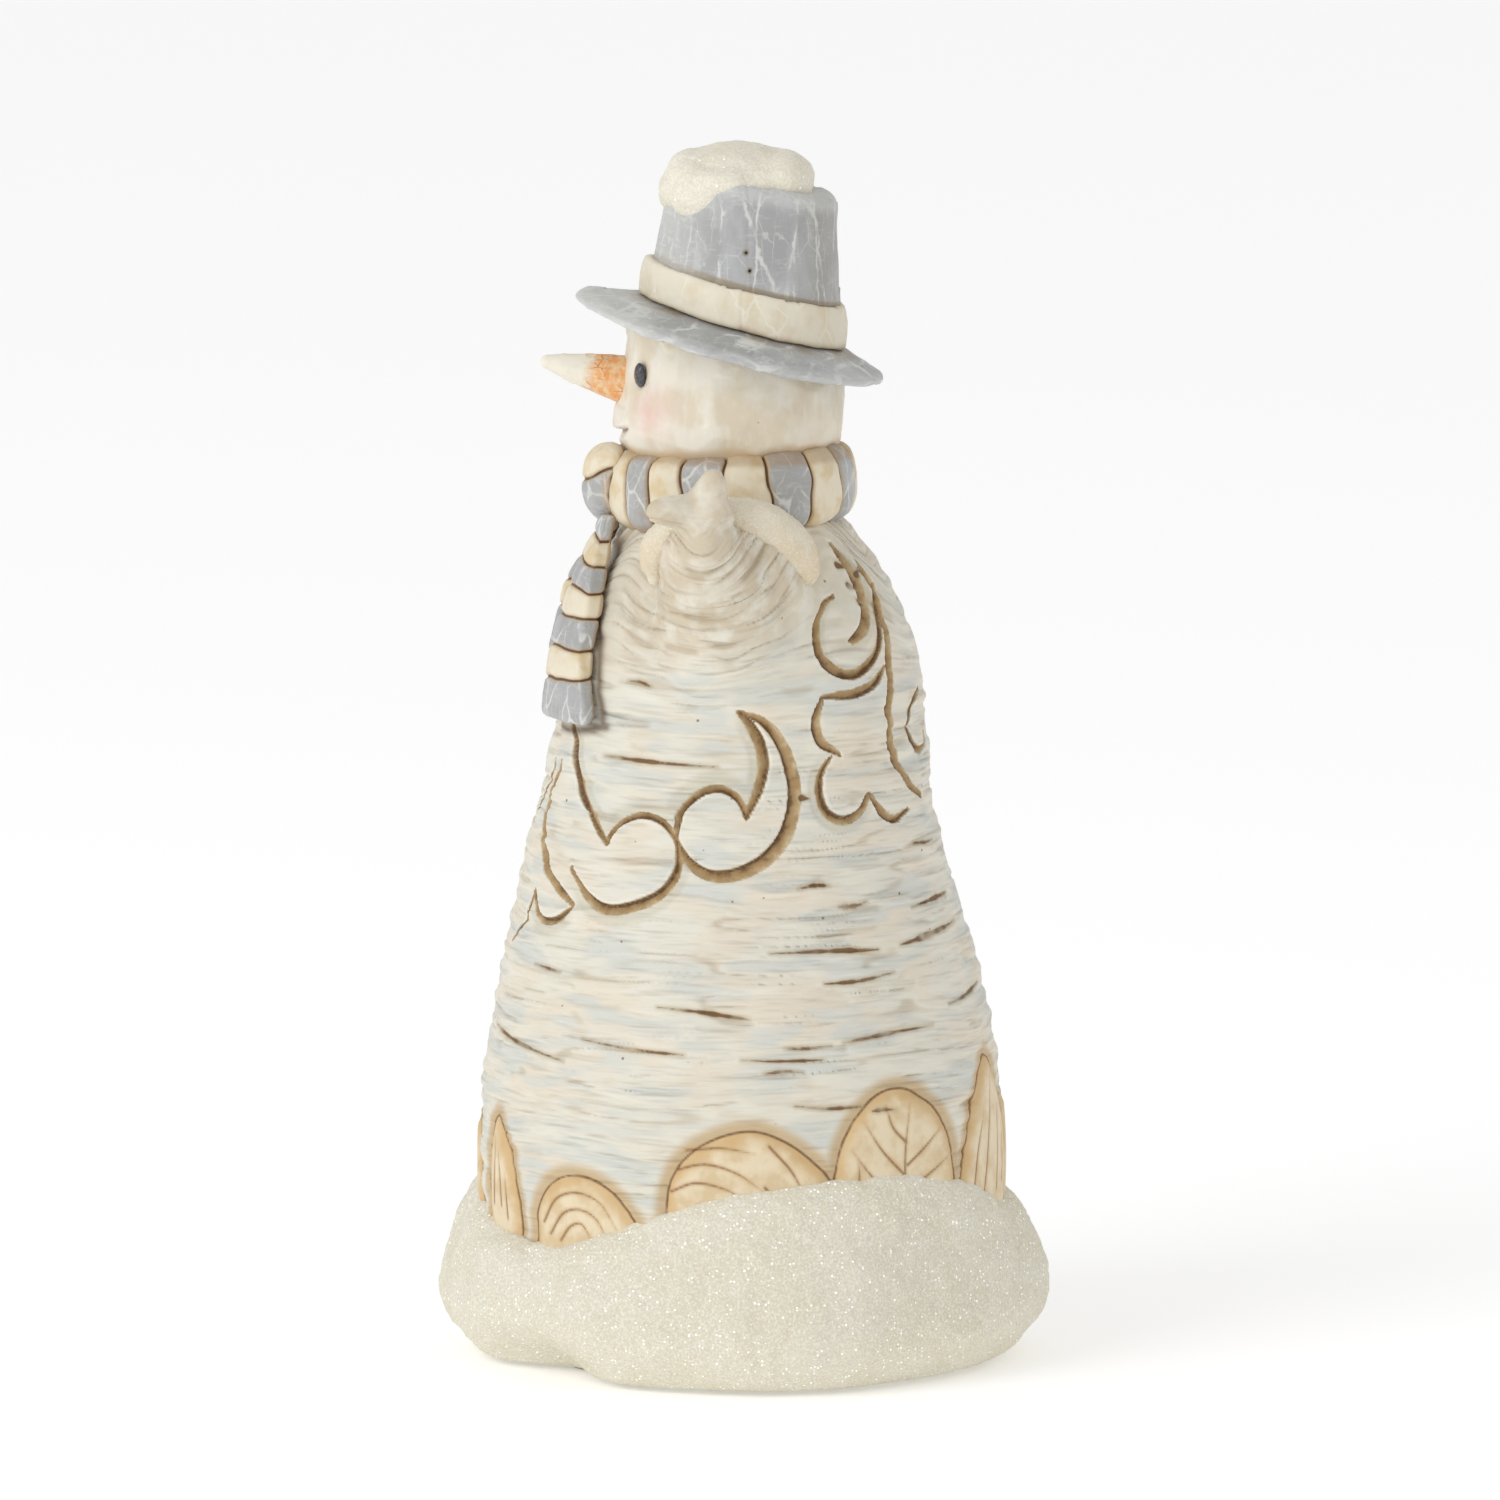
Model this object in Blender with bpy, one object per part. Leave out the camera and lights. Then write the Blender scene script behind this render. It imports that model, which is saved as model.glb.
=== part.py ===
"""A snowman figure carved as a birch log, standing in a mound of snow.

Metres, +Z up. The origin is the centre of the underside, where the figure stands. The figure
faces -Y, so its left hand is on +X. Each carved part is its own object: the parts are pegged
together with dowels, and every joint keeps a glue gap.
"""

import math

import bmesh
import bpy
import numpy as np
from mathutils import Matrix, Vector

MM = 0.001
GAP = 0.3 * MM  # glue gap round every joint

# Driving dimensions
FOOT_LIFT = 0.3 * MM  # the snow stands this far above the table, on the felt
PAD_THICK = 1.2 * MM
SOCKET_FLOOR = 10 * MM  # where the log stands in the snow
BODY_FLATTEN = 0.94  # side-to-side width over front-to-back width
DOWEL_RADIUS = 3 * MM
HAT_DOWEL_RADIUS = 2.4 * MM
CAP_THICK = 7.4 * MM
ARM_DOWEL_RADIUS = 1.5 * MM

# Side profiles in mm: height, front face (y), back face (y)
BODY_PROFILE = [
    (10, -46.8, 45.6),
    (24, -47.6, 46.4),
    (38, -48.0, 46.8),
    (50, -47.3, 46.0),
    (66, -44.8, 43.3),
    (82, -41.6, 38.6),
    (96, -38.4, 35.0),
    (110, -35.4, 32.8),
    (124, -32.6, 31.6),
    (135, -29.2, 28.6),
    (143, -25.2, 24.6),
    (149, -20.2, 19.2),
    (152, -14.0, 13.0),
]
LOG_HEIGHTS = [10, 20, 31, 41, 50, 60, 70, 80, 90, 100, 110, 120, 128, 135, 140, 144, 148, 151, 152]
HEAD_PROFILE = [
    (160, -16.0, 11.5),
    (163, -20.4, 16.2),
    (167, -23.2, 17.8),
    (171, -23.4, 18.0),
    (176, -22.2, 17.7),
    (181, -21.3, 17.2),
    (187, -20.6, 16.0),
    (194, -19.0, 13.5),
]

# Snow mound: rim height against the log at points round it, in degrees from +X and mm
RIM_HEIGHTS = [(-180, 30), (-135, 33), (-90, 29.5), (-62, 25.5), (-45, 25), (-30, 28), (-12, 33),
               (5, 35.5), (22, 37), (40, 36), (60, 33), (90, 29), (135, 33), (180, 30)]
PAD_SIZE = (33, 35)  # half-sizes of the felt pad, mm
MOUND_FOOT = (47.0, 49.0)  # half-sizes in x and y at the table, mm
MOUND_BULGE = (53.0, 55.6)  # and at the widest height
DENT_ANGLE, DENT_WIDTH = math.radians(-54), math.radians(15)  # the foot is pinched in on the front left
DENT_SHARE, DENT_HEIGHT = 0.2, 12.0  # how far in, and the height where the dent has run out, mm
BULGE_HEIGHT = 10.5

# Scarf ring: centre, centreline half-sizes and the tube's own half-sizes, mm
SCARF_CENTRE = (0.0, -2.4, 157.9)
SCARF_LINE = (15.6, 15.9)
SCARF_TUBE = (6.4, 6.3)
SCARF_TILT = math.radians(1.5)

# Hat: it leans back, and its crown stands straighter than its brim. Places are y and z in mm
BRIM_TILT, CROWN_TOP_TILT = math.radians(15.5), math.radians(11)
CROWN_FOOT, CROWN_TOP = (-0.9, 187.75), (0.7, 212.9)
FOOT_RADIUS, TOP_RADIUS = 18.4, 15.4
BAND_SHARE, BAND_THICK = 0.275, 0.9  # of the crown's height, and mm
BRIM_OFFSET = -1.0  # the brim is longer in front than behind, mm
BRIM_RADIUS, BRIM_THICK = 28.4, 2.2
BRIM_DROOP, SIDE_DROOP = 2.8, 1.0

NOSE_ROOT = Vector((0.0, -20.6, 176.0)) * MM
NOSE_TIP = Vector((0.0, -37.2, 179.8)) * MM
ARM_RADII = [14.0 * MM, 11.0 * MM, 8.6 * MM, 6.4 * MM]

# Scarf loop at the front, and the ends that hang from it
KNOT_ANGLE, KNOT_SPREAD = math.radians(-88), 0.35
KNOT_REACH, KNOT_HEIGHT, KNOT_SIZE = 22.6, 158.6, (4.2, 6.8)
TAIL_FLATTEN = 0.955

EYE_ANGLE, EYE_HEIGHT, EYE_RADIUS = math.radians(-56), 178.2 * MM, 2.1 * MM

AROUND = 36  # points round the large rings


def spline(points, at):
    """Smooth curve through (position, value, ...) rows, read at one position."""
    rows = np.array(points, float)
    x, v = rows[:, 0], rows[:, 1:]
    slope = np.gradient(v, x, axis=0)
    at = min(max(at, x[0]), x[-1])
    i = min(int(np.searchsorted(x, at, side="right")) - 1, len(x) - 2)
    h = x[i + 1] - x[i]
    t = (at - x[i]) / h
    a = (1 + 2 * t) * (1 - t) ** 2
    b = t * (1 - t) ** 2
    return (a * v[i] + b * h * slope[i] + (1 - a) * v[i + 1] - t * t * (1 - t) * h * slope[i + 1])


def clear_scene():
    for obj in list(bpy.data.objects):
        bpy.data.objects.remove(obj)
    for mesh in list(bpy.data.meshes):
        bpy.data.meshes.remove(mesh)


def paint(name, colour, roughness=0.7, metallic=0.0):
    """A plain painted finish in linear RGB."""
    made = bpy.data.materials.new(name)
    made.use_nodes = True
    shader = made.node_tree.nodes["Principled BSDF"]
    shader.inputs["Base Color"].default_value = (*colour, 1)
    shader.inputs["Roughness"].default_value = roughness
    shader.inputs["Metallic"].default_value = metallic
    return made


def solid(name, points, faces, material, smooth=True):
    """A closed mesh with its faces pointing out."""
    mesh = bpy.data.meshes.new(name)
    mesh.from_pydata(points, [], faces)
    shell = bmesh.new()
    shell.from_mesh(mesh)
    bmesh.ops.recalc_face_normals(shell, faces=shell.faces)
    shell.to_mesh(mesh)
    shell.free()
    if smooth:
        mesh.shade_smooth()
        mesh.set_sharp_from_angle(angle=math.radians(50))
    obj = bpy.data.objects.new(name, mesh)
    bpy.context.scene.collection.objects.link(obj)
    if material is not None:
        mesh.materials.append(material)
    return obj


def loft(name, rings, material, smooth=True):
    """A closed solid through rings of equally many points, capped at both ends."""
    count = len(rings[0])
    points = [tuple(p) for ring in rings for p in ring]
    faces = []
    for i in range(len(rings) - 1):
        for j in range(count):
            k = (j + 1) % count
            faces.append((i * count + j, i * count + k, (i + 1) * count + k, (i + 1) * count + j))
    for ring, first in ((rings[0], 0), (rings[-1], (len(rings) - 1) * count)):
        centre = len(points)
        points.append(tuple(sum((Vector(p) for p in ring), Vector()) / count))
        for j in range(count):
            edge = (first + j, first + (j + 1) % count)
            faces.append((centre, *(reversed(edge) if first == 0 else edge)))
    return solid(name, points, faces, material, smooth)


def helper(obj):
    """Marks a cutter, which isn't part of the figure."""
    obj.hide_render = True
    obj.display_type = "WIRE"
    return obj


def boolean(obj, other, operation="DIFFERENCE"):
    step = obj.modifiers.new(f"{operation.lower()}_{other.name}", "BOOLEAN")
    step.operation = operation
    step.object = other
    return obj


def oval_rings(profile, heights, grow=0.0, flatten=BODY_FLATTEN, around=AROUND):
    """Level oval rings of a side profile. grow is in metres; heights are in mm."""
    rings = []
    for height in heights:
        front, back = spline(profile, height) * MM
        half = (back - front) / 2 + grow
        middle = (front + back) / 2
        rings.append([
            (math.cos(a) * (half - grow) * flatten + math.cos(a) * grow,
             middle + math.sin(a) * half, height * MM)
            for a in np.arange(around) * 2 * math.pi / around
        ])
    return rings


def peg(name, start, end, radius, material, sides=14, over=0.0):
    """A round rod from start to end. over lengthens both ends."""
    axis = (end - start).normalized()
    turn = axis.to_track_quat("Z", "Y")
    rings = []
    for centre in (start - axis * over, end + axis * over):
        rings.append([
            centre + turn @ Vector((math.cos(a), math.sin(a), 0)) * radius
            for a in np.arange(sides) * 2 * math.pi / sides
        ])
    return loft(name, rings, material)


def dowel_with_holes(name, start, end, radius, material, parts):
    """A dowel, and the hole for it in each of the parts that it holds."""
    peg(name, start, end, radius, material)
    hole = helper(peg(f"{name}_hole", start, end, radius + GAP, None, over=GAP))
    for part in parts:
        boolean(part, hole)


def tube(name, path, radii, material, sides=12):
    """A round solid along a path, its radius given at each point, with rounded ends."""
    path = [Vector(p) for p in path]
    steps = 2 * (len(path) - 1)
    rows = [(i, *p, r) for i, (p, r) in enumerate(zip(path, radii, strict=True))]
    line = [spline(rows, i * (len(path) - 1) / steps) for i in range(steps + 1)]
    rings = []
    side = Vector((1, 0.3, 0.2))
    for i, (x, y, z, radius) in enumerate(line):
        before, after = line[max(i - 1, 0)], line[min(i + 1, steps)]
        along = Vector(after[:3] - before[:3]).normalized()
        side = (side - along * side.dot(along)).normalized()
        up = along.cross(side)
        centre = Vector((x, y, z))
        ends = []
        if i == 0:
            ends = [(-0.8, 0.55), (-0.45, 0.85)]
        shape = [*ends, (0.0, 1.0)]
        if i == steps:
            shape = [(0.0, 1.0), (0.45, 0.85), (0.8, 0.55)]
        for shift, share in shape:
            rings.append([
                centre + along * radius * shift * 0.8
                + (side * math.cos(a) + up * math.sin(a)) * radius * share
                for a in np.arange(sides) * 2 * math.pi / sides
            ])
    return loft(name, rings, material)


def scarf_rings(grow, around=32, sides=12):
    """The scarf's ring as rings of its cross-section, going once round the neck."""
    centre = Vector(SCARF_CENTRE) * MM
    rings = []
    for a in np.arange(around) * 2 * math.pi / around:
        out = Vector((math.cos(a), math.sin(a), 0))
        line = centre + Vector((out.x * SCARF_LINE[0], out.y * SCARF_LINE[1], 0)) * MM
        line.z += math.tan(SCARF_TILT) * line.y
        rings.append([
            line + out * math.cos(b) * (SCARF_TUBE[0] * MM + grow)
            + Vector((0, 0, math.sin(b) * (SCARF_TUBE[1] * MM + grow)))
            for b in np.arange(sides) * 2 * math.pi / sides
        ])
    return rings


def closed_ring(name, rings, material):
    """A ring-shaped solid: the last cross-section joins the first."""
    count, turns = len(rings[0]), len(rings)
    faces = []
    for i in range(turns):
        n = (i + 1) % turns
        for j in range(count):
            k = (j + 1) % count
            faces.append((i * count + j, n * count + j, n * count + k, i * count + k))
    return solid(name, [tuple(p) for ring in rings for p in ring], faces, material)


def make_body(bark):
    body = loft("birch_body", oval_rings(BODY_PROFILE, LOG_HEIGHTS), bark)
    ring = helper(closed_ring("scarf_space", scarf_rings(GAP), None))
    boolean(body, ring)
    return body, ring


def rim_height(angle):
    return float(spline(RIM_HEIGHTS, math.degrees(angle))[0])


def mound_lobes(angle):
    """The snow's soft lobes in plan, as a share of its size."""
    return 1 - 0.012 + 0.012 * math.sin(5 * angle + 0.6) + 0.008 * math.sin(9 * angle - 1.0)


def make_snow_base(snow, felt, body):
    """The mound rolls from the table out to its bulge, up to the rim, and over into the log."""
    angles = [math.radians(d) for d in np.arange(AROUND) * 360 / AROUND - 180]
    rows = []
    for share in (0, 0.1, 0.2, 0.32, 0.45, 0.6, 0.72, 0.82, 0.88, 0.94, 1):
        ring = []
        for a in angles:
            rim = rim_height(a)
            front, back = spline(BODY_PROFILE, rim)
            inner = ((back - front) / 2 * BODY_FLATTEN - 1.0, (back - front) / 2 - 1.0)
            keys = [(0.0, FOOT_LIFT / MM, *MOUND_FOOT),
                    (0.3, BULGE_HEIGHT, *MOUND_BULGE),
                    (0.72, rim * 0.8, inner[0] + 4.6, inner[1] + 4.4),
                    (0.88, rim, inner[0] + 2.2, inner[1] + 2.0),
                    (1.0, rim - 0.6, *inner)]
            height, across, deep = spline(keys, share)
            swell = mound_lobes(a) if share < 0.7 else 1.0
            dent = DENT_SHARE * math.exp(-(((a - DENT_ANGLE) / DENT_WIDTH) ** 2))
            swell *= 1 - dent * max(1 - height / DENT_HEIGHT, 0)
            ring.append((math.cos(a) * across * swell * MM, (math.sin(a) * deep * swell - 0.4) * MM,
                         max(height, FOOT_LIFT / MM) * MM))
        rows.append(ring)
    mound = loft("snow_base", rows, snow)
    socket = helper(loft("log_socket", oval_rings(
        BODY_PROFILE, [SOCKET_FLOOR / MM - 0.3, 24, 31, 38, 46], GAP), None))
    boolean(mound, socket)

    def pad_rings(low, high, grow):
        return [[(math.cos(a) * (PAD_SIZE[0] * MM + grow), math.sin(a) * (PAD_SIZE[1] * MM + grow), z)
                 for a in angles] for z in (low, high)]

    loft("felt_pad", pad_rings(0, PAD_THICK, 0), felt, smooth=False)
    recess = helper(loft("pad_recess", pad_rings(-MM, PAD_THICK + GAP, GAP), None, smooth=False))
    boolean(mound, recess)
    return mound


def crown_ring(share, grow=0.0, around=32):
    """A ring round the crown at a share of its height, grown by some mm."""
    tilt = BRIM_TILT + (CROWN_TOP_TILT - BRIM_TILT) * share
    radius = FOOT_RADIUS + (TOP_RADIUS - FOOT_RADIUS) * share + grow
    foot, top = Vector((0, *CROWN_FOOT)), Vector((0, *CROWN_TOP))
    turn = Matrix.Rotation(-tilt, 3, "X")
    return [(foot.lerp(top, share) + turn @ Vector((math.cos(a), math.sin(a), 0)) * radius) * MM
            for a in np.arange(around) * 2 * math.pi / around]


def brim_rings(rows, around=36):
    """Rings round the brim. rows: radius, and height over the brim's sloping top face, in mm."""
    turn = Matrix.Rotation(-BRIM_TILT, 3, "X")
    foot = Vector((0, *CROWN_FOOT))
    rings = []
    for radius, height in rows:
        reach = max(radius - FOOT_RADIUS, 0) / (BRIM_RADIUS - FOOT_RADIUS)
        rings.append([
            (foot + turn @ Vector((
                math.cos(a) * radius, math.sin(a) * radius + BRIM_OFFSET * reach,
                height - reach * (BRIM_DROOP + SIDE_DROOP * math.cos(a) ** 2)))) * MM
            for a in np.arange(around) * 2 * math.pi / around])
    return rings


def make_hat(grey, cream, snow, wood, head):
    edge = BRIM_RADIUS
    under = [(6.0, -BRIM_THICK), (18.5, -BRIM_THICK), (edge - 0.7, -BRIM_THICK * 0.9)]
    over = [(edge, -BRIM_THICK * 0.45), (edge - 0.7, -0.1), (18.5, 0), (6.0, 0)]
    brim = loft("hat_brim", brim_rings(under + over), grey)
    space = brim_rings([(r, h - 0.3) for r, h in under]) + brim_rings([(edge, 20), (6.0, 30)])
    boolean(head, helper(loft("hat_space", space, None)))

    crown = loft("hat_crown", [crown_ring(share) for share in (0.012, 0.14, 0.28, 0.5, 0.75, 0.96)]
                 + [crown_ring(1, -1.0)], grey)
    low, high = 0.015, BAND_SHARE
    band = [crown_ring(low, 0.3), crown_ring(low, BAND_THICK + 0.3),
            crown_ring(high, BAND_THICK + 0.3), crown_ring(high, 0.3)]
    closed_ring("hat_band", [list(section) for section in zip(*band, strict=True)], cream)
    snow_cap(snow)

    foot, top = crown_middle(-0.62), crown_middle(0.5)
    dowel_with_holes("hat_dowel", foot, top, HAT_DOWEL_RADIUS, wood, [head, brim, crown])


def crown_middle(share):
    return (Vector((0, *CROWN_FOOT)) + (Vector((0, *CROWN_TOP)) - Vector((0, *CROWN_FOOT))) * share) * MM


def cap_hang(angle):
    """How far down the crown the snow hangs, as a share of its height, round the hat."""
    front = math.exp(-((angle + 1.15) / 0.62) ** 2) + 0.7 * math.exp(-((angle + 2.35) / 0.5) ** 2)
    return 0.99 - 0.34 * min(front, 1)


def snow_cap(snow):
    """A heap of snow on the crown that stops short of its back edge and hangs down in front."""
    angles = np.arange(36) * 2 * math.pi / 36 - math.pi
    middle = crown_middle(1)
    rows = []
    for share in np.linspace(0, 0.96, 9):
        ring = []
        for i, a in enumerate(angles):
            back = max(math.sin(a), 0)
            edge = crown_ring(cap_hang(a), 1.9 - 5.0 * back, 36)[(i + 18) % 36]
            out = (edge - middle)
            level = Vector((out.x, out.y, 0)) * math.cos(share * math.pi / 2) ** 0.5
            rise = math.sin(share * math.pi / 2)
            ring.append(Vector((middle.x + level.x, middle.y + level.y,
                                edge.z + (middle.z + CAP_THICK - edge.z) * rise)))
        rows.append(ring)
    cap = loft("hat_snow", rows, snow)
    space = [crown_ring(share, 0.3) for share in (0.3, 0.96)] + [crown_ring(1.0, -0.8)]
    space[-1] = [p + Vector((0, 0, GAP)) for p in space[-1]]
    boolean(cap, helper(loft("crown_space", space, None)))
    return cap


def make_head(skin, ring):
    heights = [160, 163, 166, 169, 172, 176, 182, 194]
    head = loft("head", oval_rings(HEAD_PROFILE, heights, flatten=0.97, around=32), skin)
    boolean(head, ring)
    return head


def make_nose(orange, head):
    """A carrot with a round peg that fits a socket in the face."""
    axis = (NOSE_TIP - NOSE_ROOT).normalized()
    turn = axis.to_track_quat("Z", "X")
    length = (NOSE_TIP - NOSE_ROOT).length
    rows = [(-6.0 * MM, 2.0 * MM, 2.0 * MM), (-2.2 * MM, 2.0 * MM, 2.0 * MM)]
    shape = [(-0.13, 4.1), (0.1, 4.15), (0.3, 3.55), (0.5, 2.85), (0.7, 2.15), (0.85, 1.65),
             (0.95, 1.15), (0.99, 0.6)]
    rows += [(share * length, half * MM, half * 0.95 * MM) for share, half in shape]

    def rings(grow, chosen):
        return [[NOSE_ROOT + axis * along
                 + turn @ Vector((math.cos(a) * (up + grow), math.sin(a) * (side + grow), 0))
                 for a in np.arange(14) * 2 * math.pi / 14] for along, up, side in chosen]

    nose = loft("nose", rings(0, rows), orange)
    socket = [(-6.4 * MM, 2.0 * MM, 2.0 * MM), (-2.0 * MM - GAP, 2.0 * MM, 2.0 * MM),
              (-2.0 * MM - GAP, 4.1 * MM, 3.9 * MM), (6 * MM, 4.1 * MM, 3.9 * MM)]
    boolean(head, helper(loft("nose_socket", rings(GAP, socket), None)))
    return nose


def make_eyes(black, head):
    """Two coal beads, each pressed into a shallow round seat."""
    for side, name in ((1, "eye_left"), (-1, "eye_right")):
        front, back = spline(HEAD_PROFILE, EYE_HEIGHT / MM) * MM
        half, middle = (back - front) / 2, (front + back) / 2
        out = Vector((side * math.cos(EYE_ANGLE), math.sin(EYE_ANGLE), 0))
        centre = Vector((out.x * half * 0.97, middle + out.y * half, EYE_HEIGHT))
        turn = out.to_track_quat("Z", "Y")
        rows = [(-1.6, 0.95), (-0.3, 1.0), (0.2, 0.93), (0.6, 0.72), (0.85, 0.4)]
        rings = [[centre + out * depth * MM
                  + turn @ Vector((math.cos(a) * 0.9, math.sin(a) * 1.05, 0)) * EYE_RADIUS * share
                  for a in np.arange(12) * 2 * math.pi / 12] for depth, share in rows]
        loft(name, rings, black)
        seat = peg(f"{name}_seat", centre - out * 1.9 * MM, centre + out * 4 * MM,
                   EYE_RADIUS * 1.05 + GAP, None, sides=12)
        boolean(head, helper(seat))


def body_surface(angle, height, out=0.0):
    """A point standing out mm proud of the log at an angle from +X and a height in mm."""
    front, back = spline(BODY_PROFILE, height)
    half, middle = (back - front) / 2, (front + back) / 2
    return Vector((math.cos(angle) * (half * BODY_FLATTEN + out),
                   middle + math.sin(angle) * (half + out), height)) * MM


def make_tail(name, rows, cream):
    """A flat scarf end hanging down the log.

    rows: height, middle angle in degrees, half-width, and inner and outer distance from the axis, in mm.
    """
    rings = []
    for height, middle, half, inner, outer in rows:
        ring = []
        for across, share in ((-1, 0), (-1.04, 0.6), (-0.84, 0.95), (0, 1), (0.84, 0.95), (1.04, 0.6),
                              (1, 0), (0, 0)):
            angle = math.radians(middle) + across * half / outer
            reach = inner + (outer - inner) * share
            ring.append(Vector((math.cos(angle) * reach * TAIL_FLATTEN, math.sin(angle) * reach - 0.8,
                                height)) * MM)
        rings.append(ring)
    return loft(name, rings, cream, smooth=False)


def make_scarf(cream, body):
    closed_ring("scarf_collar", scarf_rings(0), cream)
    knot_rings = []
    for share in np.linspace(-1, 1, 9):
        swell = math.sqrt(max(1 - share ** 2, 0.12))
        angle = KNOT_ANGLE + share * KNOT_SPREAD
        out = Vector((math.cos(angle), math.sin(angle), 0))
        centre = Vector((out.x * KNOT_REACH, SCARF_CENTRE[1] + out.y * KNOT_REACH, KNOT_HEIGHT)) * MM
        knot_rings.append([
            centre + (out * math.cos(b) * KNOT_SIZE[0] + Vector((0, 0, math.sin(b) * KNOT_SIZE[1])))
            * swell * MM for b in np.arange(16) * 2 * math.pi / 16])
    knot = loft("scarf_knot", knot_rings, cream)
    boolean(knot, helper(closed_ring("knot_space", scarf_rings(GAP), None)))
    long_end = [(150.2, -73, 4.0, 23.2, 28.2), (145, -72, 5.4, 25.6, 30.4), (140, -71, 6.6, 27.8, 32.1),
                (135, -70.5, 7.3, 29.6, 33.4), (130, -70, 7.8, 31.2, 34.6), (124.5, -67, 8.3, 32.5, 35.7),
                (117.5, -63.5, 8.9, 34.2, 36.9)]
    short_end = [(150.2, -106, 3.8, 23.4, 28.0), (146, -108, 4.6, 25.4, 29.6), (140, -109.5, 5.6, 27.8, 31.8),
                 (134, -110.5, 6.4, 29.8, 33.4), (127, -111.5, 7.2, 31.8, 35.2)]
    make_tail("scarf_end_left", long_end, cream)
    make_tail("scarf_end_right", short_end, cream)


def make_arm(side, bark, snow, wood, body):
    """A cut branch that reaches up and out, with two twigs and a saddle of snow on it."""
    name = "left" if side > 0 else "right"

    def at(*rows):
        return [Vector((side * x, y, z)) * MM for x, y, z in rows]

    branch = at((22, -3.5, 134.5), (29, -4.8, 142.5), (35, -6.3, 148.5), (41, -7.6, 153))
    arm = tube(f"arm_{name}", branch, ARM_RADII, bark, sides=16)
    twigs = {"front": (at((38, -7, 155), (41, -10.5, 157.4), (42.5, -15.6, 158.3)), (3.6, 2.8, 1.8)),
             "top": (at((38.5, -6.5, 155), (40.2, -6, 161.2), (40.8, -5.6, 165.6)), (4.2, 3.1, 1.8))}
    for twig, (path, radii) in twigs.items():
        boolean(arm, helper(tube(f"{twig}_twig_{name}", path, [r * MM for r in radii], None, sides=8)),
                "UNION")
    log = oval_rings(BODY_PROFILE, LOG_HEIGHTS[9:], GAP)
    log.append([(x, y, z + GAP) for x, y, z in log[-1]])
    boolean(arm, helper(loft(f"log_space_{name}", log, None)))
    boolean(arm, helper(closed_ring(f"scarf_space_{name}", scarf_rings(GAP), None)))

    saddle = tube(f"arm_snow_{name}", at((27.6, -16.2, 145.4), (29.2, -15.4, 151.0), (31.4, -10.5, 155.2),
                                         (32.4, -4.5, 158.0), (32.0, 1.0, 157.8), (29.0, 6.2, 155.2),
                                         (26.0, 10.0, 151.0), (24.4, 12.0, 146.6)),
                  [2.0 * MM, 2.6 * MM, 3.0 * MM, 3.4 * MM, 3.7 * MM, 3.8 * MM, 3.6 * MM, 3.0 * MM], snow)
    branch_space = tube(f"arm_space_{name}", branch, [r + GAP for r in ARM_RADII], None, sides=16)
    shoulder = helper(loft(f"shoulder_space_{name}", log, None))
    boolean(saddle, shoulder)
    boolean(saddle, helper(closed_ring(f"collar_space_{name}", scarf_rings(GAP), None)))
    boolean(saddle, helper(branch_space))
    for twig, (path, radii) in twigs.items():
        space = tube(f"{twig}_space_{name}", path, [r * MM + GAP for r in radii], None, sides=8)
        boolean(saddle, helper(space))
    start, end = at((14, -4.2, 130.5), (34, -6.1, 146.6))
    dowel_with_holes(f"arm_dowel_{name}", start, end, ARM_DOWEL_RADIUS, wood, [arm, body])


def main():
    clear_scene()
    bark = paint("birch_bark", (0.74, 0.70, 0.60))
    snow = paint("glitter_snow", (0.80, 0.79, 0.72), 0.85)
    grey = paint("grey_paint", (0.42, 0.43, 0.46))
    cream = paint("cream_paint", (0.80, 0.69, 0.50))
    skin = paint("snow_white_paint", (0.80, 0.75, 0.65), 0.6)
    orange = paint("carrot_paint", (0.78, 0.55, 0.36))
    black = paint("coal_paint", (0.02, 0.02, 0.025), 0.35)
    wood = paint("dowel_wood", (0.55, 0.38, 0.22), 0.8)
    felt = paint("felt", (0.62, 0.60, 0.54), 0.95)

    body, ring = make_body(bark)
    make_snow_base(snow, felt, body)
    head = make_head(skin, ring)
    make_hat(grey, cream, snow, wood, head)
    make_nose(orange, head)
    make_eyes(black, head)
    make_scarf(cream, body)
    for side in (1, -1):
        make_arm(side, bark, snow, wood, body)
    dowel_with_holes("neck_dowel", Vector((0, -1.5, 134)) * MM, Vector((0, -1.5, 171)) * MM,
                     DOWEL_RADIUS, wood, [body, head])


main()
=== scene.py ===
"""The looks of a snowman figure carved as a birch log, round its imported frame.

Lengths are in millimetres until a mesh is made. The figure faces -Y and its left side is +X. Carving
on the log is drawn in degrees round it, counted from +X towards the back (+Y), and in millimetres of
height.
"""

import itertools
import math

import bmesh
import bpy
import numpy as np
from mathutils import Euler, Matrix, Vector, kdtree


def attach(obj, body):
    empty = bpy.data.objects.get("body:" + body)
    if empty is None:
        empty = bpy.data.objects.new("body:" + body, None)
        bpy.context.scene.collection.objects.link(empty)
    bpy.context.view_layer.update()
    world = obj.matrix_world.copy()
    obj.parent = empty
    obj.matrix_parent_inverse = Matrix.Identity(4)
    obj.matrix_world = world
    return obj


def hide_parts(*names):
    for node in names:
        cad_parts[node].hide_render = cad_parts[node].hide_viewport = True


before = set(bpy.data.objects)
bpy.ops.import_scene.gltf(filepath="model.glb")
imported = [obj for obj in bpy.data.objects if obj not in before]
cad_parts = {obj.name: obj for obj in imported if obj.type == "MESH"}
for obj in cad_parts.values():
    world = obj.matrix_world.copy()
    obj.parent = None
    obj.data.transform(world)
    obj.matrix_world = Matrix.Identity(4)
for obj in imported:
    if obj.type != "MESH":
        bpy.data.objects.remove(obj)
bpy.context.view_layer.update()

MM = 0.001
COARSE = 1.0
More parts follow.
